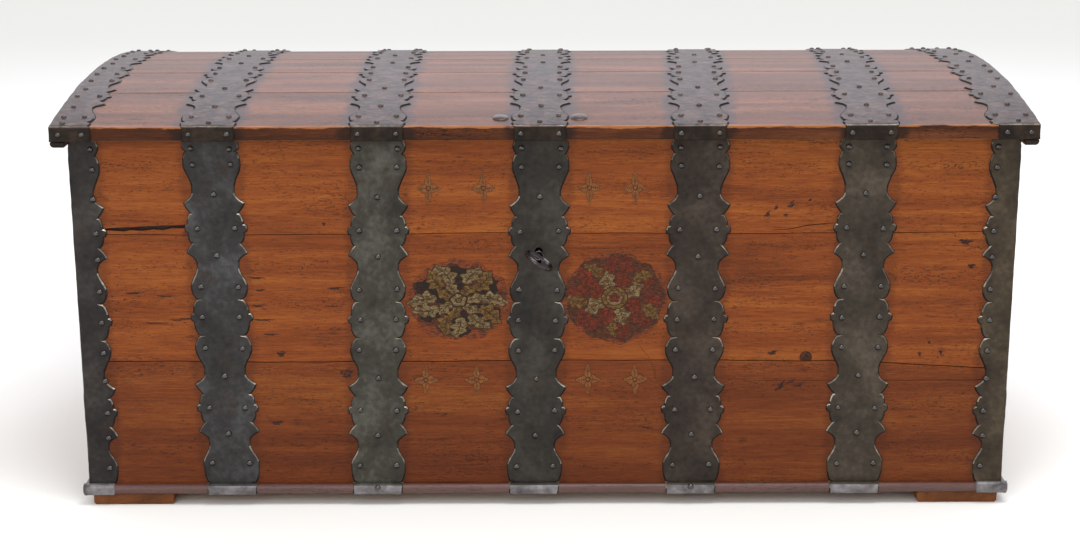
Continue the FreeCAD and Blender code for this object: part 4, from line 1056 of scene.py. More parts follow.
def bodyNails():
    chance = random.Random(nailLook["seed"])
    head = nailHead("nailMaster", nailLook["radius"] * mm, nailLook["height"] * mm)
    thick = strapEdge["thickness"] * mm
    length = (faces["strapTopZ"] - faces["mouldingTopZ"]) / mm - strapEdge["thickness"]
    places = []
    for n, name in enumerate(strapNames):
        for along, across in bothSides(nailSpots(length, strapEdge["frontFirst"][n],
                                                 strapEdge["frontPitches"])):
            place = onFront(n, along, across, chance)
            besideKey = abs(place[0][2] - keyPlace["z"]) < strapEdge["linkPitch"] * mm / 2
            if name == "centre" and not across and besideKey:
                continue
            places.append(place)
        if name in ("left_inner", "right_inner"):
            first, lean, start = frontLines[n]
            x = first + lean * (faces["mouldingTopZ"] - start)
            places.append(((x, faces["mouldingFrontY"] - 0.0008, faces["mouldingTopZ"] - 0.0035),
                           (0, -0.8, 0.6), nailIron))
    outer = faces["endX"] + thick
    inset = nailLook["cornerInset"] * mm
    for along, across in nailSpots(length, strapEdge["cornerFirst"], strapEdge["frontPitches"]):
        z = faces["strapTopZ"] - along * mm
        for sign in (-1, 1):
            jitter = chance.uniform(-1, 1) * nailLook["wander"] * mm
            places.append(((sign * (outer - inset) + jitter, faces["frontY"] - thick, z), (0, -1, 0),
                           nailIron))
            places.append(((sign * (outer - inset), faces["backY"] + thick, z), (0, 1, 0), nailIron))
            if along > nailLook["edge"]:
                places.append(((sign * outer, faces["frontY"] + inset, z + jitter), (sign, 0, 0), nailIron))
                places.append(((sign * outer, faces["backY"] - inset, z - jitter), (sign, 0, 0), nailIron))
    back = {"start": 0.040, "pitch": 0.095, "rows": 6}
    for first, lean, start in lidLines:
        x = first + lean * (faces["lidBackY"] - start)
        for row in range(back["rows"]):
            z = faces["strapTopZ"] - back["start"] - row * back["pitch"]
            for side in (-1, 1):
                places.append(((x + side * nailLook["side"] * mm, faces["backY"] + thick, z), (0, 1, 0),
                               nailIron))
    nails = driveNails("strapNailsBody", places, head, chance)
    finish(nails, "chest", "nail_iron", ["body_strap_nails"], 50)
    bpy.data.objects.remove(head)


def lidNails():
    chance = random.Random(nailLook["seed"] + 1)
    head = nailHead("nailMaster", nailLook["lidRadius"] * mm, nailLook["lidHeight"] * mm)
    thick = strapEdge["thickness"] * mm
    spots = nailSpots(lidArch["arc"] / mm, strapEdge["lidFirst"], strapEdge["lidPitches"], True)
    lipZ = (faces["lipBottomZ"] + lidArch["lipTopZ"]) / 2
    places = []

    def onLid(x, along):
        y, z = archPoint(along * mm)
        out = Vector((0, y - lidArch["middleY"], z - lidArch["centreZ"])).normalized()
        jitter = chance.uniform(-1, 1) * nailLook["wander"] * mm
        places.append((Vector((x + jitter, y, z)) + out * thick, out, lidNailIron))

    for first, lean, start in lidLines:
        for along, across in bothSides(spots):
            y, z = archPoint(along * mm)
            onLid(first + lean * (y - start) + across * mm, along)
        for side in (-1, 1):
            places.append(((first + side * nailLook["side"] * mm, faces["lidFrontY"] - thick, lipZ),
                           (0, -1, 0), nailIron))
    for name, sign in sides:
        for along, across in spots:
            onLid(sign * (faces["lidEndX"] - (lidEnds[name] + across) * mm), along)
            if across:
                onLid(sign * (faces["lidEndX"] - nailLook["edge"] * mm), along)
        for inset in (nailLook["edge"], lidEnds["foldWidth"] - nailLook["edge"]):
            places.append(((sign * (faces["lidEndX"] - inset * mm), faces["lidFrontY"] - thick, lipZ),
                           (0, -1, 0), nailIron))
    nails = driveNails("strapNailsLid", places, head, chance)
    finish(nails, "lid", "nail_iron", ["lid_strap_nails"], 50)
    bpy.data.objects.remove(head)
    clout = {"radius": 13.5, "height": 4.0, "spread": 0.060, "arc": 36.0}
    head = nailHead("cloutMaster", clout["radius"] * mm, clout["height"] * mm, 20)
    y, z = archPoint(clout["arc"] * mm)
    out = (0, y - lidArch["middleY"], z - lidArch["centreZ"])
    middle = lidLines[2][0]
    places = [((middle + side * clout["spread"], y, z), out, lidNailIron) for side in (-1, 1)]
    clouts = driveNails("lidClouts", places, head, chance)
    finish(clouts, "lid", "nail_iron", ["lid_clout_heads"], 50)
    bpy.data.objects.remove(head)


print("Chest: forging straps")
frontStraps()
cornerStraps()
lidStraps()
print("Chest: driving nails")
bodyNails()
lidNails()


# Boards: the joints wander a little, their edges are worn round, and old splits run along them

boardLook = {"slice": 0.025, "gap": 0.0005, "edge": 0.0011, "lidEdge": 0.0017, "frontJoints": (0.236, 0.445),
             "near": 0.0006, "slopeFrom": 0.46, "slope": 0.058, "edgeBoardArc": 0.175,
             "jointShift": (0.0035, 0.0008), "lidJointShift": (-0.009, -0.005, -0.003, 0.0)}


def jointWave(x, seed):
    # how far a joint strays from straight, along the board
    return (1.0 * math.sin(8.1 * x + seed) + 0.45 * math.sin(23.0 * x + 2 * seed)
            + 0.25 * math.sin(67.0 * x + 3 * seed)) * mm


def slicesOf(node):
    low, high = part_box(node)
    count = int((high.x - low.x) / boardLook["slice"])
    return [low.x + (high.x - low.x) * n / count for n in range(1, count)]


def wallRule(middle, seed, sloping):
    # corners at a joint between wall boards follow its wandering line
    def rule(co):
        for n, height in enumerate(boardLook["frontJoints"]):
            if abs(co.z - height) < boardLook["near"]:
                gap = boardLook["gap"] if middle > height else -boardLook["gap"]
                drop = (max(0.0, co.x - boardLook["slopeFrom"]) * boardLook["slope"]
                        if sloping and not n else 0.0)
                level = height + boardLook["jointShift"][n] + gap - drop
                return Vector((co.x, co.y, level + jointWave(co.x, seed + n)))
        return co
    return rule


def lidRule(middle, joints):
    def rule(co):
        along = co.z - lidArch["centreZ"]
        angle = math.atan2(co.y - lidArch["middleY"], along)
        reach = math.hypot(co.y - lidArch["middleY"], along)
        arc = (angle + lidArch["halfAngle"]) * lidArch["radius"]
        for n, joint in enumerate(joints):
            if abs(arc - joint) < boardLook["near"]:
                gap = boardLook["gap"] if middle > joint else -boardLook["gap"]
                angle += (gap + boardLook["lidJointShift"][n] + jointWave(co.x, 5 + n)) / lidArch["radius"]
                return Vector((co.x, lidArch["middleY"] + reach * math.sin(angle),
                               lidArch["centreZ"] + reach * math.cos(angle)))
        return co
    return rule


def bareInside(board, inward, index):
    # the faces that look along inward, into the hold, take the material with this index
    for face in board.data.polygons:
        if face.normal.dot(Vector(inward)) > 0.8:
            face.material_index = index


def wallBoards():
    for wall, seed in (("front", 1.0), ("back", 2.6)):
        for n, level in enumerate(("bottom", "middle", "top")):
            node = wall + "_board_" + level
            low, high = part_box(node)
            rule = wallRule((low.z + high.z) / 2, seed, wall == "front")
            board = refined(node, boardLook["edge"], 2, slicesOf(node), rule)
            if wall == "front":
                for split in splits:
                    if level in split["boards"]:
                        openSplit(board, split)
            dress(board, frontOaks[n] if wall == "front" else backOaks[n], bareOak, splitShadeOak)
            bareInside(board, (0, 1 if wall == "front" else -1, 0), 1)
            if wall == "front":
                for split in splits:
                    darkenSplit(board, split, 2)
            finish(board, "chest", "body_oak", [node], 12)
    for side, sign in sides:
        board = refined(side + "_end_boards", boardLook["edge"])
        dress(board, endOak, bareCrossOak)
        bareInside(board, (-sign, 0, 0), 1)
        finish(board, "chest", "body_oak", [side + "_end_boards"], 12)


# Splits in the front: points (x, z, width) in millimetres, and how deep they go
splits = [
    {"boards": ("top",), "depth": 5.0,
     "points": ((-690, 453.0, 0.6), (-672, 454.6, 3.8), (-650, 454.4, 6.6), (-640, 455.4, 4.6),
                (-622, 455.4, 7.2), (-604, 456.8, 5.4), (-590, 456.6, 7.4), (-574, 458.4, 4.4),
                (-560, 458.4, 5.4), (-545, 461.0, 2.0), (-530, 461.6, 0.5))},
    {"boards": ("top",), "depth": 2.5,
     "points": ((606, 458.6, 0.4), (622, 459.8, 2.0), (640, 458.4, 2.6), (656, 460.4, 1.6),
                (674, 459.2, 0.4))},
    {"boards": ("bottom",), "depth": 4.0,
     "points": ((520, 216.4, 0.6), (560, 214.2, 1.8), (600, 211.6, 2.2), (645, 208.8, 2.0),
                (692, 205.8, 1.2))},
    {"boards": ("middle", "bottom"), "depth": 1.2,
     "points": ((128, 290, 0.3), (142, 279, 0.6), (151, 261, 0.8), (163, 246, 0.7), (169, 231, 0.9),
                (175, 208, 0.7), (186, 192, 0.9), (204, 179, 0.3))},
    {"boards": ("middle",), "depth": 1.2,
     "points": ((112, 443, 0.4), (114, 434, 0.8), (118, 424, 0.7), (121, 412, 0.3))},
    {"boards": ("top",), "depth": 1.2,
     "points": ((66, 588, 0.4), (72, 574, 0.8), (78, 563, 0.6), (84, 551, 0.3))},
    {"boards": ("top",), "depth": 2.5,
     "points": ((352, 450.5, 0.5), (380, 452.0, 1.2), (405, 457.5, 1.4), (430, 460.0, 1.2),
                (462, 462.5, 0.5))},
    {"boards": ("top",), "depth": 1.2,
     "points": ((560, 575.0, 0.4), (620, 574.0, 0.7), (690, 575.5, 0.4))},
]


def darkenSplit(board, split, index):
    # painted shade inside a split: its walls take the dark oak finish
    across = [point[0] * mm for point in split["points"]]
    upward = [point[1] * mm for point in split["points"]]
    slack = 0.004
    skin = 0.0011
    for face in board.data.polygons:
        deep = face.center.y - faces["frontY"]
        beside = (min(across) < face.center.x < max(across)
                  and min(upward) - slack < face.center.z < max(upward) + slack)
        if beside and skin < deep < split["depth"] * mm + skin:
            face.material_index = index


def openSplit(board, split):
    # a thin wedge along the split is drawn out point by point and taken from the wood
    deselectAll()
    points = [(x * mm, z * mm, width * mm / 2) for x, z, width in split["points"]]
    bpy.ops.mesh.primitive_grid_add(x_subdivisions=1, y_subdivisions=1, size=2)
    wedge = newPiece("splitWedge")
    bpy.ops.object.mode_set(mode="EDIT")
    for side, (x, z, half) in ((-1, points[0]), (1, points[1])):
        pick(wedge, lambda vertex: vertex.co.x * side > 0.5)
        bpy.ops.transform.resize(value=(1, half, 1), center_override=(side, 0, 0))
        bpy.ops.transform.translate(value=(x - side, z, 0))
    for last, point in zip(points[1:], points[2:]):
        bpy.ops.mesh.extrude_edges_move(
            TRANSFORM_OT_translate={"value": (point[0] - last[0], point[1] - last[1], 0)})
        bpy.ops.transform.resize(value=(1, point[2] / last[2], 1), center_override=(point[0], point[1], 0))
    bpy.ops.mesh.select_all(action="SELECT")
    bpy.ops.mesh.extrude_region_move(TRANSFORM_OT_translate={"value": (0, 0, 2 * split["depth"] * mm)})
    bpy.ops.mesh.select_all(action="SELECT")
    bpy.ops.mesh.normals_make_consistent(inside=False)
    bpy.ops.object.mode_set(mode="OBJECT")
    stand = (Matrix.Translation((0, faces["frontY"] + split["depth"] * mm, 0))
             @ Matrix.Rotation(math.pi / 2, 4, "X"))
    wedge.data.transform(stand)
    addModifier(board, "BOOLEAN", operation="DIFFERENCE", object=wedge, solver="EXACT")
    bpy.data.objects.remove(wedge)


def lidBoards():
    names = ("front", "front_middle", "crest", "rear_middle", "rear")
    edge = boardLook["edgeBoardArc"]
    width = (lidArch["arc"] - 2 * edge) / 3
    joints = [edge + n * width for n in range(4)]
    starts = [0.0] + joints
    for n, name in enumerate(names):
        node = "lid_board_" + name
        middle = (starts[n] + (joints + [lidArch["arc"]])[n]) / 2
        board = refined(node, boardLook["lidEdge"], 3, slicesOf(node), lidRule(middle, joints))
        dress(board, lidOaks[n], lipOak, bareOak)
        for face in board.data.polygons:
            face.material_index = 1 if name == "front" and face.normal.y < -0.75 else 0
        bareInside(board, (0, 0, -1), 2)
        finish(board, "lid", "lid_oak", [node], 12)
    for side in ("left", "right"):
        batten = refined("lid_batten_" + side, 0.0025, 3)
        dress(batten, battenOak, foldIron)
        for face in batten.data.polygons:
            face.material_index = 1 if face.center.y < faces["lidFrontY"] + 0.02 else 0
        finish(batten, "lid", "lid_oak", ["lid_batten_" + side])


def otherWood():
    # pieces whose edges are only eased: node, edge, material, body, slot
    eased = [("bottom_boards", 0.0010, innerOak, "chest", "body_oak"),
             ("till_front", 0.0010, innerCrossOak, "chest", "till_oak"),
             ("till_bottom", 0.0010, innerCrossOak, "chest", "till_oak"),
             ("till_lid", 0.0008, innerCrossOak, "till_lid", "till_oak")]
    eased += [("skid_" + side, 0.0015, skidOak, "chest", "skid_oak") for side in ("left", "right")]
    eased += [("base_moulding_" + side, 0.0006,
               mouldingOak if side in ("front", "back") else mouldingCrossOak, "chest", "moulding_oak")
              for side in ("front", "right", "back", "left")]
    eased += [("back_strap_" + name, 0.0004, bodyIron, "chest", "body_iron") for name in strapNames]
    eased += [("corner_strap_back_" + side, 0.0005, cornerIron, "chest", "body_iron")
              for side in ("left", "right")]
    eased += [("handle_eyes_" + side, 0.0009, lockIron, "chest", "forged_iron")
              for side in ("left", "right")]
    eased += [("lock_case", 0.0004, lockIron, "chest", "lock_iron"),
              ("lock_bolt", 0.0006, lockIron, "lock_bolt", "lock_iron"),
              ("lid_staple", 0.0006, lockIron, "lid", "lock_iron"),
              ("hinge_pins", 0.0007, lockIron, "chest", "forged_iron")]
    for node, edge, material, body, slot in eased:
        piece = refined(node, edge)
        dress(piece, material)
        finish(piece, body, slot, [node])


# Handles: each bail is one bar drawn out, bent round four corners and swelled at the grip

handleLook = {"x": 0.741, "middleY": 0.02285, "height": 0.372, "drop": 0.062, "span": 0.114, "bend": 0.014,
              "tail": 0.089, "radius": 0.0055, "sides": 14, "bendSteps": 6, "grip": 1.28, "gripSteps": 8,
              "end": 0.0012}


def bail(name, x):
    look = handleLook
    half = look["span"] / 2
    bend = look["bend"]
    low = look["height"] - look["drop"]
    deselectAll()
    bpy.ops.mesh.primitive_circle_add(vertices=look["sides"], radius=look["radius"], fill_type="NGON",
                                      location=(x, look["middleY"] - look["tail"], look["height"]),
                                      rotation=(math.pi / 2, 0, 0))
    bar = newPiece(name)
    settle(bar)
    bpy.ops.object.mode_set(mode="EDIT")
    bpy.ops.mesh.select_all(action="SELECT")

    def draw(y, z):
        bpy.ops.mesh.extrude_region_move(TRANSFORM_OT_translate={"value": (0, y, z)})

    def turn(y, z, quarter):
        # spin turns left-handed about its axis, so the angle is negated
        bpy.ops.mesh.spin(steps=look["bendSteps"], angle=-quarter * math.pi / 2, axis=(1, 0, 0),
                          center=(x, look["middleY"] + y, z))

    shoulder = half + bend
    draw(look["tail"] - shoulder, 0)
    turn(-shoulder, look["height"] - bend, -1)
    draw(0, low + bend - (look["height"] - bend))
    turn(-half + bend, low + bend, 1)
    grip = 2 * (half - bend)
    for n in range(1, look["gripSteps"] + 1):
        draw(grip / look["gripSteps"], 0)
        swell = [1 + (look["grip"] - 1) * math.sin(math.pi * k / look["gripSteps"]) ** 0.7
                 for k in (n - 1, n)]
        bpy.ops.transform.resize(value=(swell[1] / swell[0],) * 3, center_override=(
            x, look["middleY"] - half + bend + grip * n / look["gripSteps"], low))
    turn(half - bend, low + bend, 1)
    draw(0, look["height"] - bend - (low + bend))
    turn(shoulder, look["height"] - bend, -1)
    draw(look["tail"] - shoulder, 0)
    bpy.ops.mesh.select_all(action="SELECT")
    bpy.ops.mesh.remove_doubles(threshold=0.00001)
    bpy.ops.mesh.normals_make_consistent(inside=False)
    bpy.ops.object.mode_set(mode="OBJECT")
    addModifier(bar, "BEVEL", width=look["end"], segments=2, limit_method="ANGLE",
                angle_limit=math.radians(60))
    return bar


def handles():
    for side, sign in sides:
        bar = bail("bail_" + side, sign * handleLook["x"])
        dress(bar, lockIron)
        finish(bar, "handle_" + side, "forged_iron", ["handle_" + side])


# Key: oval bow, beaded collar, round shank and a warded bit

keyLook = {"tiltDegrees": 33.0, "droopDegrees": 5.5, "bowStart": 0.017,
           "bowWidth": 0.052, "bowLength": 0.043, "bar": 0.0027, "bowThin": 0.62, "bowDeep": 1.18,
           "shank": 0.004, "shankLength": 0.069, "beads": (0.0080, 0.0060, 0.0050), "bead": 0.0017,
           "beadPitch": 0.0031, "bitReach": 0.020, "bitThickness": 0.004, "bitLength": 0.012,
           "bitMiddle": 0.0367, "wardReach": 0.0065, "wardLength": 0.003}


def ringOf(name, radius, bar, y):
    deselectAll()
    bpy.ops.mesh.primitive_torus_add(major_segments=40, minor_segments=14, major_radius=radius - bar,
                                     minor_radius=bar, rotation=(math.pi / 2, 0, 0), location=(0, y, 0))
    ring = newPiece(name)
    settle(ring)
    return ring


def keyBow(look, y):
    # a ring drawn out to an oval, its bar flattened a little where the thumb bears
    deselectAll()
    bpy.ops.mesh.primitive_torus_add(major_segments=56, minor_segments=16,
                                     major_radius=look["bowWidth"] / 2 - look["bar"],
                                     minor_radius=look["bar"], location=(0, y, 0))
    bow = newPiece("keyBow")
    settle(bow)
    inner = look["bowWidth"] / 2 - look["bar"]
    bpy.ops.object.mode_set(mode="EDIT")
    squeeze = (look["bowLength"] / 2 - look["bar"]) / inner

    def rule(co):
        around = math.atan2(co.y - y, co.x)
        reach = math.hypot(co.y - y, co.x) - inner
        middle = Vector((inner * math.cos(around), y + inner * squeeze * math.sin(around), 0))
        out = Vector((math.cos(around) * squeeze, math.sin(around), 0)).normalized()
        return middle + out * reach * look["bowThin"] + Vector((0, 0, co.z * look["bowDeep"]))

    moved(bow, rule)
    bpy.ops.object.mode_set(mode="OBJECT")
    return bow


def makeKey():
    look = keyLook
    face = faces["frontY"] - strapEdge["thickness"] * mm
    neck = face - look["bowStart"]
    start = neck - 2 * look["bar"] * 0.6
    deselectAll()
    bpy.ops.mesh.primitive_cylinder_add(vertices=20, radius=look["shank"], depth=look["shankLength"],
                                        location=(0, start + look["shankLength"] / 2, 0),
                                        rotation=(math.pi / 2, 0, 0))
    shank = newPiece("shank")
    settle(shank)
    addModifier(shank, "BEVEL", width=0.0008, segments=3, limit_method="ANGLE")
    parts = [keyBow(look, neck - look["bowLength"] / 2), shank]
    for n, radius in enumerate(look["beads"]):
        parts.append(ringOf("bead", radius, look["bead"], neck + look["bead"] + n * look["beadPitch"]))
    bitY = face + look["bitMiddle"]
    deselectAll()
    bpy.ops.mesh.primitive_cube_add(size=1, location=(-look["bitReach"] / 2, bitY, 0),
                                    scale=(look["bitReach"], look["bitLength"], look["bitThickness"]))
    bit = newPiece("bit")
    settle(bit)
    deselectAll()
    bpy.ops.mesh.primitive_cube_add(size=1, scale=(look["wardReach"], look["wardLength"], 0.02), location=(
        -look["bitReach"] + look["wardReach"] / 2, bitY + look["bitLength"] / 2 - look["wardLength"] / 2, 0))
    ward = newPiece("ward")
    addModifier(bit, "BOOLEAN", operation="DIFFERENCE", object=ward, solver="EXACT")
    bpy.data.objects.remove(ward)
    addModifier(bit, "BEVEL", width=0.0005, segments=2, limit_method="ANGLE")
    parts.append(bit)
    key = joined("ironKey", parts)
    # it hangs a little in its worn hole, about the middle of the board
    hang = Vector((0, faces["frontY"] + 0.0125, 0))
    key.data.transform(Matrix.Translation((keyPlace["x"], 0, keyPlace["z"])) @ Matrix.Translation(hang)
                       @ Matrix.Rotation(math.radians(look["droopDegrees"]), 4, "X")
                       @ Matrix.Translation(-hang)
                       @ Matrix.Rotation(math.radians(look["tiltDegrees"]), 4, "Y"))
    dress(key, keyIron)
    finish(key, "key", "lock_iron", ["key"])


# Paint: flat shapes a tenth of a millimetre proud of the front, drawn from the side and laid in coats

paintLook = {"proud": 0.00010, "coat": 0.000005, "thickness": 0.00005}


def thicken(shape):
    # in edit mode: the flat outline becomes a thin closed film
    bpy.ops.mesh.select_all(action="SELECT")
    bpy.ops.mesh.remove_doubles(threshold=0.00002)
    bpy.ops.mesh.extrude_region_move(TRANSFORM_OT_translate={"value": (0, 0, paintLook["thickness"])})
    bpy.ops.mesh.select_all(action="SELECT")
    bpy.ops.mesh.normals_make_consistent(inside=False)
    bpy.ops.object.mode_set(mode="OBJECT")
    return shape


def flatShape(name, corners, radius):
    # a filled circle, each corner pushed to the radius that its angle asks for
    deselectAll()
    bpy.ops.mesh.primitive_circle_add(vertices=corners, radius=1, fill_type="NGON")
    shape = newPiece(name)
    bpy.ops.object.mode_set(mode="EDIT")
    moved(shape, lambda co: co * radius(math.atan2(co.y, co.x)))
    return thicken(shape)


def leafShape(name, length, width, curl, lobes, corners=72, frill=0.30):
    # a curling leaf: its stem at the middle, its tip towards +X, lobed on both sides
    deselectAll()
    bpy.ops.mesh.primitive_circle_add(vertices=corners, radius=1, fill_type="NGON")
    shape = newPiece(name)

    def rule(co):
        along = (1 + co.x) / 2
        side = 1 if co.y >= 0 else -1
        body = math.sin(math.pi * along ** 0.85) ** 0.8 if 0.001 < along < 0.999 else 0.0
        edge = 1 + frill * math.sin(math.tau * lobes * along + 0.5 - 0.5 * side)
        return Vector((along * length, side * width / 2 * body * edge + curl * along ** 2, 0))

    bpy.ops.object.mode_set(mode="EDIT")
    moved(shape, rule)
    return thicken(shape)


def veins(length, width, curl):
    # a midrib and short side veins, drawn as thin strokes
    strokes = [leafShape("vein", length * 0.85, width * 0.065, curl * 0.72, 1, 16, 0.0)]
    side = leafShape("sideVein", width * 0.36, width * 0.05, 0.0, 1, 10, 0.0)
    for along in (0.22, 0.40, 0.58, 0.74):
        for turn in (-0.8, 0.8):
            stroke = copyOf(side, "vein")
            stroke.data.transform(Matrix.Translation((along * length, curl * along ** 2, 0))
                                  @ Matrix.Rotation(turn, 4, "Z"))
            strokes.append(stroke)
    bpy.data.objects.remove(side)
    return joined("vein", strokes)


def leafSet(length, width, curl, lobes):
    return [leafShape("leafLine", length * 1.03, width * 1.10, curl * 1.03, lobes),
            leafShape("leaf", length, width, curl, lobes), veins(length, width, curl)]


def layPaint(daubs, shape, paint, place, turn=0.0, size=1.0, offset=0.0, squash=(1, 1), flip=1):
    # drawn flat, moved out from the middle by offset, turned, squashed and stood up on the front,
    # each stroke a hair above the one before
    daub = copyOf(shape, "daub")
    level = paintLook["proud"] + len(daubs) * paintLook["coat"]
    daub.data.transform(
        Matrix.Translation((place[0], faces["frontY"] - level, place[1]))
        @ Matrix.Rotation(math.pi / 2, 4, "X")
        @ Matrix.Diagonal((squash[0], squash[1], 1, 1)) @ Matrix.Rotation(turn, 4, "Z")
        @ Matrix.Translation((offset, 0, 0)) @ Matrix.Diagonal((size, size * flip, 1, 1)))
    dress(daub, paints[paint])
    daubs.append(daub)


def layLeaf(daubs, shapes, paint, place, line="Black", **more):
    # a leaf over its dark outline, with dark veins
    for shape, colour in zip(shapes, (line, paint, line)):
        layPaint(daubs, shape, colour, place, **more)


def painted(name, daubs):
    piece = joined(name, daubs)
    facesOut(piece)
    return finish(piece, "chest", "body_oak")


def ragged(radius, *waves):
    # a radius that wanders with the angle: waves are (times round, share, phase)
    return lambda angle: radius * (1 + sum(share * math.sin(times * angle + phase)
                                           for times, share, phase in waves))


def paintedGarland():
    # cream and ochre leaves in two rings round a small rose, on patches of black
    look = {"place": (-0.1345, 0.3389), "squash": (1.10, 0.89), "outer": 11, "inner": 7, "patches": 6,
            "seed": 7}
    place = look["place"]
    shared = {"squash": look["squash"]}
    chance = random.Random(look["seed"])
    daubs = []
    halo = flatShape("ground", 96, ragged(0.073, (5, 0.03, 0.4), (11, 0.025, 2.0), (23, 0.02, 1.0)))
    ground = flatShape("ground", 96, ragged(0.064, (7, 0.05, 1.1), (12, 0.04, 0.2), (25, 0.02, 3.0)))
    layPaint(daubs, halo, "Halo", place, **shared)
    layPaint(daubs, ground, "Brown", place, **shared)
    blotch = flatShape("blotch", 40, ragged(0.0165, (3, 0.16, 0.0), (7, 0.10, 1.0), (12, 0.06, 0.5)))
    for n in range(look["patches"]):
        turn = math.tau * (n + 0.5) / look["patches"]
        layPaint(daubs, blotch, "Black", place, turn=turn, offset=0.047, size=chance.uniform(0.9, 1.25),
                 **shared)
    outer = leafSet(0.040, 0.024, 0.013, 3)
    inner = leafSet(0.027, 0.0165, -0.007, 2)
    for n in range(look["outer"]):
        turn = math.tau * (n + 0.3) / look["outer"] + chance.uniform(-0.08, 0.08)
        layLeaf(daubs, outer, "Ochre" if n % 3 == 1 else "Cream", place, turn=turn, offset=0.031,
                size=chance.uniform(0.90, 1.06), flip=1 if n % 2 else -1, **shared)
    for n in range(look["inner"]):
        turn = math.tau * (n + 0.1) / look["inner"] + chance.uniform(-0.06, 0.06)
        layPaint(daubs, blotch, "Black", place, turn=turn + 0.4, offset=0.026, size=0.40, **shared)
        layLeaf(daubs, inner, "Ochre" if n % 2 else "Cream", place, turn=turn, offset=0.011,
                size=chance.uniform(0.92, 1.05), flip=1 if n % 2 else -1, **shared)
    rose = flatShape("rose", 60, lambda angle: 0.0115 * (0.80 + 0.20 * abs(math.cos(2.5 * angle))))
    for size, paint in ((1.2, "Black"), (1.0, "Cream"), (0.45, "Black"), (0.30, "Ochre")):
        layPaint(daubs, rose, paint, place, turn=0.4, size=size, **shared)
    painted("paintedGarland", daubs)


def paintedRosette():
    # a brown roundel with red, ochre and cream leaves round a ringed flower
    look = {"place": (0.1089, 0.3422), "squash": (1.06, 0.95), "petals": 8, "rim": 15, "seed": 12}
    place = look["place"]
    shared = {"squash": look["squash"]}
    chance = random.Random(look["seed"])
    daubs = []
    halo = flatShape("ground", 96, ragged(0.077, (4, 0.02, 0.4), (9, 0.03, 2.0), (21, 0.015, 1.0)))
    ground = flatShape("ground", 96, ragged(0.073, (9, 0.035, 0.8), (17, 0.02, 0.0), (31, 0.01, 1.0)))
    layPaint(daubs, halo, "Halo", place, **shared)
    layPaint(daubs, ground, "Brown", place, **shared)
    rim = leafSet(0.032, 0.0185, 0.010, 3)
    for n in range(look["rim"]):
        turn = math.tau * n / look["rim"] + chance.uniform(-0.06, 0.06)
        layLeaf(daubs, rim, ("Red", "Red", "Ochre")[n % 3], place, "FadedBrown", turn=turn, offset=0.041,
                size=chance.uniform(0.90, 1.06), flip=1 if n % 2 else -1, **shared)
    petal = leafSet(0.034, 0.0225, 0.007, 2)
    for n in range(look["petals"]):
        turn = math.tau * (n + 0.5) / look["petals"] + chance.uniform(-0.04, 0.04)
        layLeaf(daubs, petal, "Red" if n % 2 else "Cream", place, "FadedBrown", turn=turn, offset=0.015,
                size=chance.uniform(0.94, 1.05), flip=1 if n % 4 < 2 else -1, **shared)
    disc = flatShape("disc", 48, ragged(0.0185, (11, 0.02, 0.0)))
    for size, paint in ((1.08, "Black"), (1.0, "Ochre"), (0.72, "FadedBrown"), (0.64, "Cream")):
        layPaint(daubs, disc, paint, place, size=size, **shared)
    heart = flatShape("heart", 60, lambda angle: 0.0090 * (0.72 + 0.28 * abs(math.cos(2.5 * angle))))
    for size, paint in ((1.0, "Red"), (0.35, "Ochre")):
        layPaint(daubs, heart, paint, place, turn=0.3, size=size, **shared)
    painted("paintedRosette", daubs)


def paintedSprigs():
    # eight small faded flowers of four petals, two in each bay above and below the big ones
    look = {"places": ((-0.1787, 0.5178), (-0.0941, 0.5178), (0.0688, 0.5178), (0.1395, 0.5178),
                       (-0.1880, 0.2085), (-0.1075, 0.2085), (0.0676, 0.2085), (0.1417, 0.2085)),
            "squash": (0.80, 1.08), "seed": 3}
    chance = random.Random(look["seed"])
    petal = leafSet(0.0210, 0.0115, 0.0, 1)
    dot = flatShape("dot", 20, ragged(0.0042, (3, 0.12, 0.0)))
    daubs = []
    for place in look["places"]:
        for n in range(4):
            layLeaf(daubs, petal, "FadedOchre", place, "FadedBrown",
                    turn=math.pi / 2 * n + chance.uniform(-0.06, 0.06), offset=0.0022,
                    squash=look["squash"], size=chance.uniform(0.95, 1.05))
        for size, paint in ((1.0, "FadedBrown"), (0.6, "FadedOchre")):
            layPaint(daubs, dot, paint, place, size=size)
    painted("paintedSprigs", daubs)


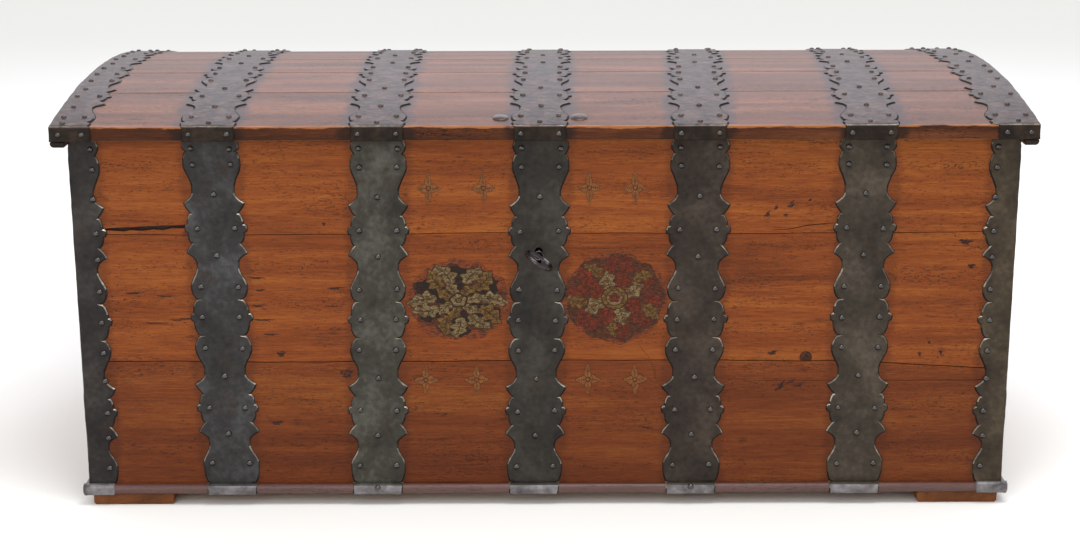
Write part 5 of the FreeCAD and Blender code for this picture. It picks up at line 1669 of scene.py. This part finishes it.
def woodMarks():
    # old scorches, ink-dark bruises and a plugged hole: (x, z, half length, half height, turn), millimetres
    marks = ((343.6, 475.2, 5.0, 3.0, 0.9), (357.1, 486.3, 4.0, 2.2, 1.2), (380.1, 491.0, 6.0, 3.6, 1.0),
             (372.0, 474.0, 3.2, 2.0, 0.2), (409.0, 498.0, 3.0, 1.6, 0.7), (358.0, 252.0, 7.5, 3.0, 0.4),
             (371.0, 196.0, 9.0, 3.2, 0.9), (388.0, 204.0, 7.0, 2.0, 0.5), (401.0, 198.0, 5.0, 1.6, 0.2),
             (-414.0, 252.0, 6.0, 4.5, 0.3), (-425.0, 138.0, 8.0, 3.6, 0.2), (-443.0, 356.0, 6.5, 1.6, 0.1),
             (-430.0, 284.0, 10.0, 1.4, 0.0), (-341.0, 462.0, 2.4, 2.4, 0.0), (-548.0, 205.0, 5.0, 2.0, 0.7),
             (589.0, 249.0, 2.4, 3.6, 0.3), (622.0, 252.0, 2.6, 3.6, 0.2), (603.0, 268.0, 2.0, 2.4, 0.9),
             (-520.0, 295.0, 14.0, 1.2, 0.05), (-560.0, 310.0, 10.0, 1.0, 0.0),
             (-330.0, 330.0, 12.0, 1.1, 0.0),
             (-265.0, 168.0, 6.0, 1.6, 0.6), (-160.0, 150.0, 7.0, 1.0, 0.3), (160.0, 128.0, 9.0, 1.1, -0.2),
             (-640.0, 352.0, 12.0, 1.4, 0.05), (-590.0, 347.0, 14.0, 1.2, 0.0),
             (-612.0, 303.0, 12.0, 1.3, 0.0),
             (-575.0, 308.0, 10.0, 1.0, 0.0), (-448.0, 376.0, 10.0, 1.4, 0.0),
             (-446.0, 331.0, 10.0, 1.8, 0.1),
             (-440.0, 308.0, 14.0, 1.4, 0.0), (-326.0, 359.0, 12.0, 1.6, 0.1), (-312.0, 220.0, 9.0, 7.0, 0.3),
             (652.0, 431.0, 9.0, 4.0, 0.0), (663.0, 392.0, 5.0, 3.5, 0.2))
    mark = flatShape("mark", 36, ragged(0.001, (3, 0.22, 0.3), (5, 0.18, 1.4), (9, 0.12, 0.2)))
    daubs = []
    for x, z, reach, rise, turn in marks:
        bruise = copyOf(mark, "mark")
        bruise.data.transform(Matrix.Rotation(turn, 4, "Z") @ Matrix.Diagonal((reach, rise, 1, 1)))
        layPaint(daubs, bruise, "Scorch", (x * mm, z * mm))
    plugged = {"place": (0.4101, 0.2445), "radius": 0.0086, "cut": 0.55}
    plug = flatShape("plug", 40, lambda angle: plugged["radius"] * min(
        1.0, plugged["cut"] / max(0.001, -math.sin(angle))))
    layPaint(daubs, plug, "Black", plugged["place"], size=1.12)
    layPaint(daubs, plug, "Scorch", plugged["place"])
    painted("woodMarks", daubs)


print("Chest: planing boards")
wallBoards()
lidBoards()
otherWood()
print("Chest: handles and key")
handles()
makeKey()
print("Chest: painting")
paintedGarland()
paintedRosette()
paintedSprigs()
woodMarks()
for leftover in [piece for piece in bpy.data.objects if piece.name.split(".")[0] in paintShapes]:
    bpy.data.objects.remove(leftover)


def setStudio():
    floorLook = {"size": 60.0, "colour": "#f4f4f2", "roughness": 0.9}
    deselectAll()
    bpy.ops.mesh.primitive_plane_add(size=floorLook["size"], location=(0, 0, 0))
    floor = newPiece("studioFloor")
    material, tree, shader = newMaterial("paleFloorPaint")
    shader.inputs["Base Color"].default_value = linear(floorLook["colour"])
    shader.inputs["Roughness"].default_value = floorLook["roughness"]
    floor.data.materials.append(material)
    lamps = [
        # name, place, aim, width, depth, power, colour
        ("softTop", (0.5, -1.3, 3.3), (0, 0.0, 0.5), 1.7, 1.0, 60, "#ffffff"),
        ("softRear", (0.0, 3.2, 2.6), (0, 0.1, 0.6), 4.0, 1.8, 45, "#e6e8f8"),
        ("softFront", (-1.6, -3.4, 2.0), (0, -0.3, 0.35), 1.6, 1.6, 30, "#fffaf2"),
    ]
    for name, place, aim, width, depth, power, colour in lamps:
        bpy.ops.object.light_add(type="AREA", location=place)
        lamp = bpy.context.object
        lamp.name = name
        lamp.data.shape = "RECTANGLE"
        lamp.data.size = width
        lamp.data.size_y = depth
        lamp.data.energy = power
        lamp.data.color = linear(colour)[:3]
        lamp.rotation_euler = (Vector(aim) - Vector(place)).to_track_quat("-Z", "Y").to_euler()
    world = bpy.context.scene.world or bpy.data.worlds.new("studio")
    bpy.context.scene.world = world
    world.use_nodes = True
    backdrop = world.node_tree.nodes["Background"]
    backdrop.inputs["Color"].default_value = linear("#ffffff")
    backdrop.inputs["Strength"].default_value = 0.92
    bpy.context.scene.view_settings.view_transform = "Standard"


def setCamera():
    view = {"place": (-0.005, -3.285, 1.175), "pitchDegrees": 15.0, "rollDegrees": 0.17,
            "focalPixels": 1962.0, "imageWidth": 1080.0, "sensorWidth": 36.0}
    bpy.ops.object.camera_add(location=view["place"])
    camera = bpy.context.object
    camera.name = "frontCamera"
    camera.rotation_euler = (math.radians(90 - view["pitchDegrees"]), math.radians(view["rollDegrees"]), 0)
    camera.data.sensor_width = view["sensorWidth"]
    camera.data.lens = view["focalPixels"] * view["sensorWidth"] / view["imageWidth"]
    bpy.context.scene.camera = camera


setStudio()
setCamera()
print("Chest: studio and camera set")
